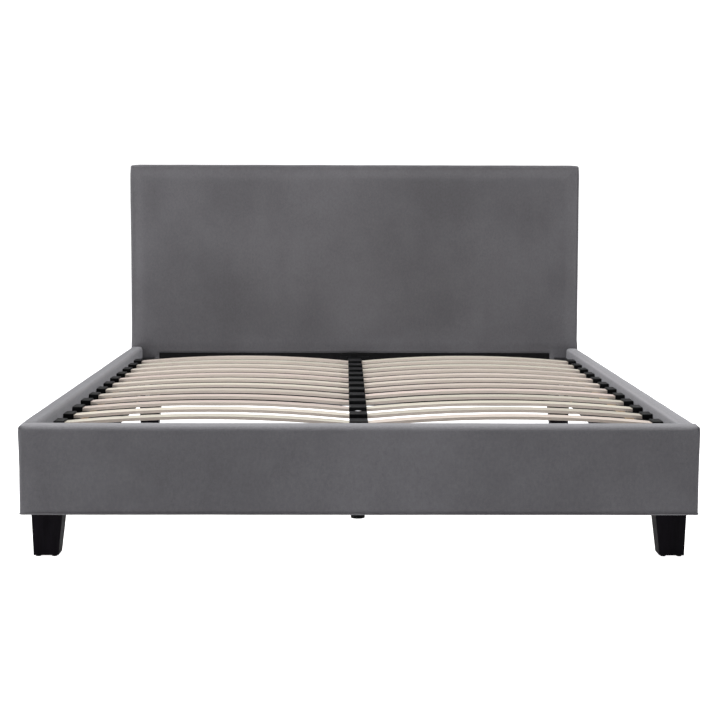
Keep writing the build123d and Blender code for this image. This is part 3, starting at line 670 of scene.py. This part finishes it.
def leg_lacquer():
    """Black satin lacquer over wood, with the grain just showing through."""
    base = settings("bed_finish").lacquer_black
    net = Finish("black_leg_wood")
    timber = net.group("Timber", Stretch=(1.0, 1.0, 0.07), Line=80.0)
    worn = net.group("Edge wear", Radius=0.0016, Amount=0.55)["Wear"]
    tint = net.mix(timber["Grain"], tinted(base, 0.7), tinted(base, 1.7))
    cloud = net.speckle(net.place, 0.02, 4.0, 0.6)
    net.set_shader({
        "Base Color": net.mix(worn, tint, (0.05, 0.03, 0.02)),
        "Roughness": net.spread(cloud, 0.3, 0.7, 0.42, 0.55),
        "Coat Weight": net.spread(cloud, 0.3, 0.7, 0.02, 0.0),
        "Coat Roughness": 0.25,
        "Specular IOR Level": 0.1,
        "IOR": 1.25,
    })
    net.bump(net.plus(timber["Height"], net.times(timber["Pore"], -0.5)), 0.0003, 0.4)


def raw_wood(name, stretch):
    """Unfinished pine with its growth lines running along the part."""
    base = settings("bed_finish").pine
    net = Finish(name)
    timber = net.group("Timber", Stretch=stretch, Line=60.0, Knots=1.0)
    tint = net.mix(timber["Grain"], tinted(base, 0.62), tinted(base, 1.15))
    tint = net.mix(net.times(timber["Knot"], 0.85), tint, (0.16, 0.07, 0.03))
    tint = net.mix(net.times(timber["Pore"], 0.3), tint, (0.26, 0.15, 0.07))
    net.set_shader({"Base Color": tint, "Roughness": net.blend(timber["Grain"], 0.75, 0.6)})
    net.bump(timber["Height"], 0.0004, 0.5)


def chip_board():
    """Particle board: pressed chips of several browns."""
    net = Finish("particle_board")
    cells = net.cells(net.scaled(net.place, (1.0, 0.5, 0.7)), 260.0)
    fines = net.speckle(net.place, 0.0015, 4.0, 0.7)
    tint = net.mix(net.channels(cells["Color"])[0], (0.36, 0.24, 0.13), (0.58, 0.42, 0.26))
    tint = net.mix(net.times(net.spread(fines, 0.4, 0.7), 0.4), tint, (0.24, 0.15, 0.08))
    net.set_shader({"Base Color": tint, "Roughness": net.spread(fines, 0.3, 0.7, 0.72, 0.9)})
    net.bump(cells["Distance"], 0.0003, 0.5)


def plated_steel(name, dark, light, rough):
    """Plated or blackened steel of a bolt, screw or staple."""
    net = Finish(name)
    flake = net.channels(net.cells(net.place, 900.0)["Color"])[0]
    cloud = net.speckle(net.place, 0.004, 4.0, 0.65)
    worn = net.group("Edge wear", Radius=0.0006, Amount=0.6)["Wear"]
    tint = net.mix(net.plus(net.times(flake, 0.3), net.times(cloud, 0.7)), dark, light)
    net.set_shader({
        "Base Color": net.mix(worn, tint, tinted(light, 1.4, 0.1)),
        "Metallic": net.spread(cloud, 0.0, 0.4, 0.85, 1.0),
        "Roughness": net.spread(cloud, 0.3, 0.7, rough, rough + 0.15),
    })
    net.bump(cloud, 0.0002, 0.3)


# ---------------------------------------------------------------- shared by the operators
def dress(piece, finish):
    """Gives a piece or a CAD node its only material."""
    piece.data.materials.clear()
    piece.data.materials.append(finishes[finish])


def nodes_named(*starts):
    """The CAD nodes whose names start in one of these ways."""
    found = [o for name, o in sorted(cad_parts.items()) if name.startswith(starts)]
    if not found:
        raise RuntimeError(f"no part of the frame is named {starts}")
    return found


def soften(piece, radius, segments=2):
    """Breaks the sharp edges of a CAD node, without changing its mesh."""
    weld = piece.modifiers.new("Weld", "WELD")
    weld.merge_threshold = 0.00002
    bevel = piece.modifiers.new("Broken edges", "BEVEL")
    bevel.width = radius
    bevel.segments = segments
    bevel.limit_method = "ANGLE"
    bevel.angle_limit = math.radians(32)
    bevel.harden_normals = False


def finish_nodes(finish, *starts, edge=None):
    """Dresses the CAD nodes whose names start so, and may break their edges."""
    for part in nodes_named(*starts):
        dress(part, finish)
        if edge:
            soften(part, edge)


def box_of(name):
    """Lowest and highest corner of a CAD node."""
    low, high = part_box(name)
    return Vector(low), Vector(high)


class BED_OT_finishes(bpy.types.Operator):
    """Build the shared shader groups and the soft and hard finishes"""

    bl_idname = "bed.finishes"
    bl_label = "Finishes"

    def execute(self, context):
        for build in (build_nap_group, build_fibre_group, build_timber_group, build_wear_group,
                      build_moulded_group, build_dust_group, velvet, non_woven, powder_coat,
                      leg_lacquer, chip_board):
            build()
        plastic = settings("bed_finish").plastic_black
        moulded_plastic("black_plastic", plastic, 0.0009)
        moulded_plastic("glide_plastic", tinted(plastic, 2.4), 0.0006)
        plated_steel("bolt_steel", (0.38, 0.38, 0.40), (0.72, 0.72, 0.74), 0.24)
        plated_steel("black_screw", (0.02, 0.02, 0.021), (0.07, 0.07, 0.075), 0.3)
        return {"FINISHED"}


# ---------------------------------------------------------------- covers
def to_end(flat, low, high, axis=X):
    """Distance to the nearer end of a cover's box."""
    return min(flat[axis] - low[axis], high[axis] - flat[axis])


def to_edge(flat, low, high):
    """Distance to the nearer end or to the top of a cover's box."""
    return min(to_end(flat, low, high), high.z - flat.z)


def near_top(flat, high, band=0.03):
    """1 at the top of a cover's box and 0 below the band."""
    return smooth_step((flat.z - high.z + band) / band)


def waviness(flat, wide, fine, fine_share):
    """Height of the long waves and of the finer ones on them, each given as (seed, size)."""
    waves = 1 + long_wave(flat, *wide) + fine_share * long_wave(flat, *fine)
    return settings("bed_upholstery").wave * waves


def sew(piece, *nodes):
    """Gives a cover its velvet, hides the CAD nodes it takes the place of, and hangs it on the bed.
    """
    dress(piece, "velvet")
    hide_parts(*nodes)
    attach(piece, BODY)


class BED_OT_headboard_cover(bpy.types.Operator):
    """Pad the headboard and turn its velvet round to the back"""

    bl_idname = "bed.headboard_cover"
    bl_label = "Headboard cover"

    def execute(self, context):
        look = settings("bed_upholstery")
        low, high = box_of("headboard_cover")
        front = box_of("headboard_front_lining")
        back = box_of("headboard_back_lining")
        rail_top = box_of("side_rail_left_cover")[1].z
        turned = look.turned_round
        margins = [(look.head_round,) * 2, (look.head_round, turned), (turned, look.head_round)]
        cuts = [
            (front[0].x, front[1].x, back[0].x, back[1].x),
            (),
            (front[0].z, front[1].z, back[0].z, back[1].z, rail_top),
        ]

        def keep(middle, axis, sign):
            if axis != Y:
                return True
            window = front if sign < 0 else back
            inside = all(window[0][a] < middle[a] < window[1][a] for a in (X, Z))
            return not inside

        front_depth, corner_reach = 0.012, 0.045

        def dip(flat, normal):
            behind = flat.y > low.y + front_depth
            if behind and abs(normal.x) < FACING and normal.z < FACING:
                return 0.0
            above = smooth_step((flat.z - rail_top) / 0.03)
            waves = waviness(flat, (1, 0.16), (2, 0.045), 0.4)
            if normal.y < -FACING:
                crowned = fade(to_edge(flat, low, high), look.crown_reach)
                window_edge = max(abs(flat.x) - front[1].x, flat.z - front[1].z,
                                  front[0].z - flat.z, 0)
                tucked = 0.0006 * fade(window_edge, HEM)
                return above * (look.swell * (0.45 + 0.75 * crowned) + waves) + tucked
            # the padding thins out towards the two top corners
            corner = to_end(flat, low, high) if normal.z > FACING else high.z - flat.z
            drop = 0.0022 * fade(corner, corner_reach) ** 2
            return above * (look.swell * 0.45 + waves + drop)

        def held(flat):
            return flat.y > low.y + 0.06 or flat.z < rail_top + 0.005

        def lift(flat, normal):
            # painted sheen: a faint lighter border, stronger on the right, whose inner edge wanders
            # a little
            border, softness, wander = 0.030, 0.022, 0.007 * long_wave(flat, 6, 0.2)
            band = fade(to_edge(flat, low, high) - border + wander, softness)
            strength = 0.06 if flat.x < 0 else 0.13
            return strength * band * smooth_step((flat.z - rail_top) / 0.05)

        piece = shape_cover("headboard_padded_cover", (low, high), margins, cuts, keep, dip, held,
                            lift)
        sew(piece, "headboard_cover", "headboard_foam")
        return {"FINISHED"}


class BED_OT_footboard_cover(bpy.types.Operator):
    """Pad the footboard, with a small fold at each top corner"""

    bl_idname = "bed.footboard_cover"
    bl_label = "Footboard cover"

    def execute(self, context):
        look = settings("bed_upholstery")
        low, high = box_of("footboard_cover")
        batten_low = box_of("footboard_batten")[0].z
        board_inner = box_of("footboard_board")[1].y
        turned = look.turned_round
        margins = [(look.rail_round,) * 2, (look.rail_round, turned), (turned, look.rail_round)]
        cuts = [(), (board_inner,), (batten_low,)]

        def keep(middle, axis, sign):
            if axis == Y and sign > 0:
                return middle.z > batten_low
            return not (axis == Z and sign < 0 and middle.y > board_inner)

        def dip(flat, normal):
            if flat.z < batten_low and flat.y > board_inner:
                return 0.0
            waves = waviness(flat, (3, 0.14), (4, 0.04), 0.5)
            if normal.y < -FACING:
                crowned = fade(to_edge(flat, low, high), 0.022)
                return look.swell * (0.45 + 0.3 * crowned) + waves
            if normal.z > FACING:
                # a small pleat at each top corner
                inset, height, width = 0.004, 0.0024, 0.006
                from_tip = math.dist((abs(flat.x), flat.y), (high.x - inset, low.y + inset))
                pleat = height * math.exp(-((from_tip / width) ** 2))
                return 0.4 * waves - pleat
            if abs(normal.x) > FACING:
                # the ends lean in towards the floor, and the board stops them at the deepest
                lean, deepest = 0.0026, 0.0045
                lean *= smooth_step((high.z - flat.z) / (high.z - low.z))
                return min(look.swell * 0.3 + waves + lean, deepest)
            return 0.4 * waves

        def held(flat):
            return flat.y > high.y - HEM or flat.z < low.z + HEM

        def lift(flat, normal):
            # painted sheen: the top face is painted lighter, as if lit from above
            return 0.8 * smooth_step((normal.z - 0.75) / 0.2)

        def rise(flat):
            along = smooth_step((to_end(flat, low, high) + 0.004) / 0.012)
            inward = smooth_step((flat.y - low.y - 0.001) / 0.02)
            return look.crown * near_top(flat, high) * along * inward

        piece = shape_cover("footboard_padded_cover", (low, high), margins, cuts, keep, dip, held,
                            lift, rise)
        sew(piece, "footboard_cover", "footboard_foam")
        return {"FINISHED"}


class BED_OT_side_rail_covers(bpy.types.Operator):
    """Pad the two side rails, down to the ledger on their inner side"""

    bl_idname = "bed.side_rail_covers"
    bl_label = "Side rail covers"

    def execute(self, context):
        look = settings("bed_upholstery")
        for side, sign in SIDES.items():
            low, high = box_of(f"side_rail_{side}_cover")
            board = box_of(f"side_rail_{side}_board")
            ledger_low = box_of(f"side_ledger_{side}")[0].z
            board_inner = board[0].x if sign > 0 else board[1].x
            inner_x = high.x if sign < 0 else low.x
            margins = [(look.rail_round,) * 2, (0, 0), (look.turned_round, look.rail_round)]
            cuts = [(board_inner,), (low.y + 0.012, high.y - 0.012), (ledger_low,)]

            def keep(middle, axis, toward):
                if axis == Y:
                    return False
                if axis == X and toward == -sign:
                    return middle.z > ledger_low
                return not (axis == Z and toward < 0 and sign * (middle.x - board_inner) < 0)

            def dip(flat, normal):
                rolled = 0.0012 * fade(to_end(flat, low, high, Y), 0.010)
                waves = waviness(flat, (5 + sign, 0.17), (9, 0.05), 0.5)
                if sign * normal.x < -FACING:
                    return 0.35 * waves + rolled
                if flat.z < low.z + HEM:
                    return rolled
                if normal.z > FACING:
                    return 0.5 * waves + rolled
                return look.swell * 0.45 + waves + rolled

            def held(flat):
                at_end = to_end(flat, low, high, Y) < 0.006
                return at_end or flat.z < low.z + HEM or abs(flat.x - inner_x) < 0.001

            # painted sheen: the tops and inner sides are painted lighter, the right rail much more
            # than the left, as if lit from the left; and the left rail is padded a little fuller
            brushed, fuller = (0.9, 0.0) if sign > 0 else (0.25, look.crown)

            def lift(flat, normal):
                # painted sheen on the top and, less, on the inner side; brushed sets how much
                inside = 0.3 * smooth_step((-sign * normal.x - 0.35) / 0.4)
                return brushed * (smooth_step((normal.z - 0.35) / 0.4) + inside)

            def rise(flat):
                return fuller * near_top(flat, high)

            piece = shape_cover(f"side_rail_{side}_padded_cover", (low, high), margins, cuts,
                                keep, dip, held, lift, rise)
            sew(piece, f"side_rail_{side}_cover", f"side_rail_{side}_foam")
        return {"FINISHED"}


# ---------------------------------------------------------------- linings
def lining_sheet(name, node, axis, outward, over, seed, on_wood=None):
    """A thin sheet stapled round its edges, which hangs a little between them.

    It looks along axis to the outward side, and reaches under the velvet by over. on_wood(point)
    is 1 where it lies on the frame and 0 where it may sink; without it, it bulges off a board.
    """
    look = settings("bed_upholstery")
    low, high = box_of(node)
    across = [a for a in range(3) if a != axis]
    u_low, u_high = low[across[0]] - over, high[across[0]] + over
    v_low, v_high = low[across[1]] - over, high[across[1]] + over
    outer = high[axis] if outward > 0 else low[axis]
    inner = low[axis] if outward > 0 else high[axis]
    step, cloth_thickness = 0.012, 0.0004
    columns = math.ceil((u_high - u_low) / step)
    rows = math.ceil((v_high - v_low) / step)
    points, faces = [], []
    for j in range(rows + 1):
        for i in range(columns + 1):
            u = u_low + (u_high - u_low) * i / columns
            v = v_low + (v_high - v_low) * j / rows
            edge = min(u - u_low, u_high - u, v - v_low, v_high - v)
            run = u if min(v - v_low, v_high - v) <= edge + 1e-9 else v
            pucker = math.cos(2 * math.pi * run / look.staple_pitch)
            near = smooth_step(edge / 0.06)
            here = Vector((u, v, seed))
            slack = near * (0.55 + 0.6 * noise.noise(here * 5) + 0.25 * noise.noise(here * 19))
            slack += 0.16 * (1 - pucker) * (1 - near) * smooth_step(edge / 0.006)
            place = Vector((0, 0, 0))
            place[across[0]], place[across[1]] = u, v
            if on_wood:
                tuck = smooth_step((edge - over * 0.4) / over) if over else 1.0
                base = inner + (outer - inner) * tuck
                place[axis] = base - outward * look.lining_slack * slack * (1 - on_wood(place))
            else:
                place[axis] = inner + outward * (0.0005 + look.lining_slack * max(slack, 0.0))
            points.append(place)
    for j in range(rows):
        for i in range(columns):
            a = j * (columns + 1) + i
            quad = [a, a + 1, a + columns + 2, a + columns + 1]
            forward = outward * (1 if axis != Y else -1)
            faces.append(quad if forward > 0 else quad[::-1])
    piece = make_mesh(name, points, faces)
    thicken(piece, cloth_thickness)
    dress(piece, "black_lining")
    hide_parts(node)
    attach(piece, BODY)


def staple(points, faces, middle, along, out):
    """Adds one wire staple: its crown and two short legs, along a seam."""
    half, wire, rise = 0.005, 0.0004, 0.0006
    side = along.cross(out)
    rails = []
    for reach, lift in ((-half, -rise), (-half * 0.86, rise), (half * 0.86, rise), (half, -rise)):
        for du, dv in ((-wire, -wire), (wire, -wire), (wire, wire), (-wire, wire)):
            rails.append(middle + along * reach + side * du + out * (lift + dv))
    start = len(points)
    points += rails
    for ring in range(3):
        for n in range(4):
            a, b = start + ring * 4 + n, start + ring * 4 + (n + 1) % 4
            faces.append([a, b, b + 4, a + 4])
    faces.append([start + n for n in (3, 2, 1, 0)])
    faces.append([start + 12 + n for n in range(4)])


def staple_row(name, node, axis, outward, inset):
    """Staples round a lining, inset from its edges."""
    look = settings("bed_upholstery")
    low, high = box_of(node)
    u, v = [a for a in range(3) if a != axis]
    out = Vector((0, 0, 0))
    out[axis] = outward
    level = (high if outward > 0 else low)[axis] + outward * 0.0001
    points, faces = [], []
    for run, cross in ((u, v), (v, u)):
        for end, push in ((low, inset), (high, -inset)):
            count = max(2, round((high[run] - low[run] - 4 * inset) / look.staple_pitch))
            for n in range(count + 1):
                middle = Vector((0, 0, 0))
                middle[axis] = level
                middle[run] = low[run] + 2 * inset + (high[run] - low[run] - 4 * inset) * n / count
                middle[cross] = end[cross] + push
                jitter = noise.noise(middle * 91)
                middle[run] += 0.004 * jitter
                along = Vector((0, 0, 0))
                along[run], along[cross] = 1.0, 0.25 * jitter
                staple(points, faces, middle, along.normalized(), out)
    piece = make_mesh(name, points, faces, smooth=False)
    dress(piece, "bolt_steel")
    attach(piece, BODY)


class BED_OT_linings(bpy.types.Operator):
    """Staple the black linings into the headboard and behind the rails"""

    bl_idname = "bed.linings"
    bl_label = "Linings and staples"

    def execute(self, context):
        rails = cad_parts["headboard_cross_rails"].data.vertices
        rail_end = max(v.co.x for v in rails)
        levels = sorted({round(v.co.z, 4) for v in rails if v.co.x > rail_end - 0.001})
        bands = list(zip(levels[::2], levels[1::2]))

        def on_frame(place):
            beside = smooth_step(1 - (rail_end - abs(place.x)) / 0.05)
            over_rail = max(smooth_step(1 - max(low - place.z, place.z - high) / 0.05)
                            for low, high in bands)
            return max(beside, over_rail)

        def half_free(place):
            return 0.5

        lining_sheet("headboard_back_lining_sheet", "headboard_back_lining", Y, 1, 0.0,
                     1, on_frame)
        staple_row("headboard_back_staples", "headboard_back_lining", Y, 1, 0.008)
        lining_sheet("headboard_front_lining_sheet", "headboard_front_lining", Y, -1, 0.006,
                     2, half_free)
        lining_sheet("footboard_lining_sheet", "footboard_lining", Y, 1, 0.0,
                     3)
        staple_row("footboard_staples", "footboard_lining", Y, 1, 0.007)
        for side, sign in SIDES.items():
            rail = f"side_rail_{side}"
            lining_sheet(f"{rail}_lining_sheet", f"{rail}_lining", X, -sign, 0.0,
                         4 + sign)
            staple_row(f"{rail}_staples", f"{rail}_lining", X, -sign, 0.007)
        return {"FINISHED"}


# ---------------------------------------------------------------- hard parts
class BED_OT_slats(bpy.types.Operator):
    """Give the bowed slats their veneer, plies and eased edges"""

    bl_idname = "bed.slats"
    bl_label = "Slats"

    def execute(self, context):
        rows = nodes_named("slat_row_")
        low, high = box_of(rows[0].name)
        holder_depth, thickness = 0.024, 0.007
        centre_gap = 0.0023  # from the middle of the bed to the inner end of a slat
        pitch = low.y - box_of(rows[1].name)[0].y
        slat_veneer({
            "first_y": (low.y + high.y) / 2 - pitch / 2,
            "pitch": pitch,
            "middle": (high.x + centre_gap) / 2,
            "half": (high.x - centre_gap) / 2 - holder_depth,
            "crown": high.z - low.z - thickness,
            "low": low.z,
            "thickness": thickness,
        })
        for slat in rows:
            dress(slat, "slat_plywood")
            soften(slat, settings("bed_finish").edge_radius, segments=3)
        return {"FINISHED"}


class BED_OT_holders(bpy.types.Operator):
    """Give the slat holders, plugs, glides and levelling feet their plastic"""

    bl_idname = "bed.holders"
    bl_label = "Holders and feet"

    def execute(self, context):
        finish_nodes("black_plastic", "slat_caps_", "centre_leg_plugs", "levelling_foot_",
                     edge=0.0004)
        finish_nodes("glide_plastic", "leg_glides", edge=0.0005)
        return {"FINISHED"}


class BED_OT_steelwork(bpy.types.Operator):
    """Powder-coat the centre rail, its legs and saddles, the ledgers and the brackets"""

    bl_idname = "bed.steelwork"
    bl_label = "Steelwork"

    def execute(self, context):
        finish_nodes("black_steel", "centre_rail", "centre_leg_front", "centre_leg_rear",
                     "side_ledger_", "corner_brackets", edge=0.0004)
        return {"FINISHED"}


class BED_OT_legs(bpy.types.Operator):
    """Lacquer the four tapered legs"""

    bl_idname = "bed.legs"
    bl_label = "Corner legs"

    def execute(self, context):
        finish_nodes("black_leg_wood", "leg_front_", "leg_rear_", edge=0.0008)
        return {"FINISHED"}


class BED_OT_woodwork(bpy.types.Operator):
    """Give the boards, battens, posts and blocks their bare wood"""

    bl_idname = "bed.woodwork"
    bl_label = "Woodwork"

    def execute(self, context):
        for name, axis, parts in (
            ("pine_across", X, ("headboard_cross_rails", "footboard_batten")),
            ("pine_lengthwise", Y, ("side_rail_left_batten", "side_rail_right_batten")),
            ("pine_upright", Z, ("headboard_posts", "corner_blocks")),
        ):
            stretch = [1.0, 1.0, 1.0]
            stretch[axis] = 0.05
            raw_wood(name, stretch)
            finish_nodes(name, *parts)
        finish_nodes("particle_board", "headboard_front_board", "footboard_board",
                     "side_rail_left_board", "side_rail_right_board")
        return {"FINISHED"}


class BED_OT_fasteners(bpy.types.Operator):
    """Plate the bolts and blacken the screws"""

    bl_idname = "bed.fasteners"
    bl_label = "Bolts and screws"

    def execute(self, context):
        finish_nodes("bolt_steel", "centre_leg_bolts", "leg_bolts", "rail_bolts")
        finish_nodes("black_screw", "ledger_screws", "saddle_screws")
        return {"FINISHED"}


# ---------------------------------------------------------------- stage
def studio_light(name, place, target, size, watts):
    """A soft rectangular light that looks at a target."""
    data = bpy.data.lights.new(name, "AREA")
    data.shape = "RECTANGLE"
    data.size, data.size_y = size
    data.energy = watts
    lamp = bpy.data.objects.new(name, data)
    bpy.context.scene.collection.objects.link(lamp)
    lamp.location = place
    lamp.rotation_euler = (Vector(target) - Vector(place)).to_track_quat("-Z", "Y").to_euler()
    lamp.visible_camera = False


class BED_OT_stage(bpy.types.Operator):
    """Set the pale floor, the studio light and the camera"""

    bl_idname = "bed.stage"
    bl_label = "Stage"

    def execute(self, context):
        look = settings("bed_stage")
        scene = context.scene
        half = look.floor_size / 2
        corners = [(-half, -half, 0), (half, -half, 0), (half, half, 0), (-half, half, 0)]
        floor = make_mesh("studio_floor", corners, [[0, 1, 2, 3]], smooth=False)
        net = Finish("studio_floor")
        cloud = net.speckle(net.place, 1.5, 3.0, 0.5)
        seen = net.put("LightPath").outputs["Is Camera Ray"]
        net.set_shader({
            "Base Color": net.mix(cloud, (0.93, 0.93, 0.93), (0.96, 0.96, 0.96)),
            "Roughness": net.blend(cloud, 0.85, 0.95),
            "Specular IOR Level": 0.1,
            # seen directly, the floor is as bright as the backdrop
            "Emission Color": (1, 1, 1),
            "Emission Strength": net.times(seen, look.floor_glow),
        })
        dress(floor, "studio_floor")

        world = bpy.data.worlds.new("studio")
        world.use_nodes = True
        net = Net(world.node_tree)
        net.tree.nodes.clear()
        seen = net.put("LightPath").outputs["Is Camera Ray"]
        strength = net.blend(seen, look.ambient, look.backdrop)
        sky = net.put("Background", {"Color": (1, 1, 1), "Strength": strength})
        net.put("OutputWorld", {"Surface": sky.outputs[0]})
        scene.world = world

        studio_light("overhead", (-0.3, 0.2, 4.2), (0, 0, 0), (6.0, 6.0), 225)
        studio_light("key", (-5.2, -1.6, 2.6), (0.3, 0.2, 0.3), (2.4, 2.4), 105)
        studio_light("fill", (2.2, -5.5, 2.2), (0, 0, 0.4), (3.0, 2.0), 8)

        scene.view_settings.view_transform = "Standard"
        data = bpy.data.cameras.new("camera")
        data.sensor_fit = "HORIZONTAL"
        data.lens = look.camera_lens
        data.clip_end = 200
        camera = bpy.data.objects.new("camera", data)
        camera.location = look.camera_place
        camera.rotation_euler = (math.pi / 2 - look.camera_down, look.camera_roll,
                                 -look.camera_turn)
        scene.collection.objects.link(camera)
        scene.camera = camera
        return {"FINISHED"}


class BED_PT_pieces(bpy.types.Panel):
    """Lists the steps and the sizes that they use"""

    bl_idname = "BED_PT_pieces"
    bl_label = "Bed frame"
    bl_space_type = "VIEW_3D"
    bl_region_type = "UI"
    bl_category = "Bed frame"

    def draw(self, context):
        layout = self.layout
        for step in STEPS:
            layout.operator(step.bl_idname)
        for name in GROUPS:
            group = getattr(context.scene, name)
            box = layout.box()
            for key in group.bl_rna.properties.keys():
                if key not in ("rna_type", "name"):
                    box.prop(group, key)


GROUPS = {"bed_upholstery": BedUpholstery, "bed_finish": BedFinish, "bed_stage": BedStage}
STEPS = (
    BED_OT_finishes,
    BED_OT_stage,
    BED_OT_headboard_cover,
    BED_OT_footboard_cover,
    BED_OT_side_rail_covers,
    BED_OT_linings,
    BED_OT_slats,
    BED_OT_holders,
    BED_OT_steelwork,
    BED_OT_legs,
    BED_OT_woodwork,
    BED_OT_fasteners,
)


def register():
    for cls in (*GROUPS.values(), *STEPS, BED_PT_pieces):
        bpy.utils.register_class(cls)
    for name, cls in GROUPS.items():
        setattr(bpy.types.Scene, name, PointerProperty(type=cls))


def unregister():
    for name in GROUPS:
        delattr(bpy.types.Scene, name)
    for cls in (BED_PT_pieces, *reversed(STEPS), *reversed(tuple(GROUPS.values()))):
        bpy.utils.unregister_class(cls)


def main():
    """Makes every piece in order."""
    register()
    for step in STEPS:
        family, action = step.bl_idname.split(".")
        getattr(getattr(bpy.ops, family), action)()


if __name__ == "__main__":
    main()
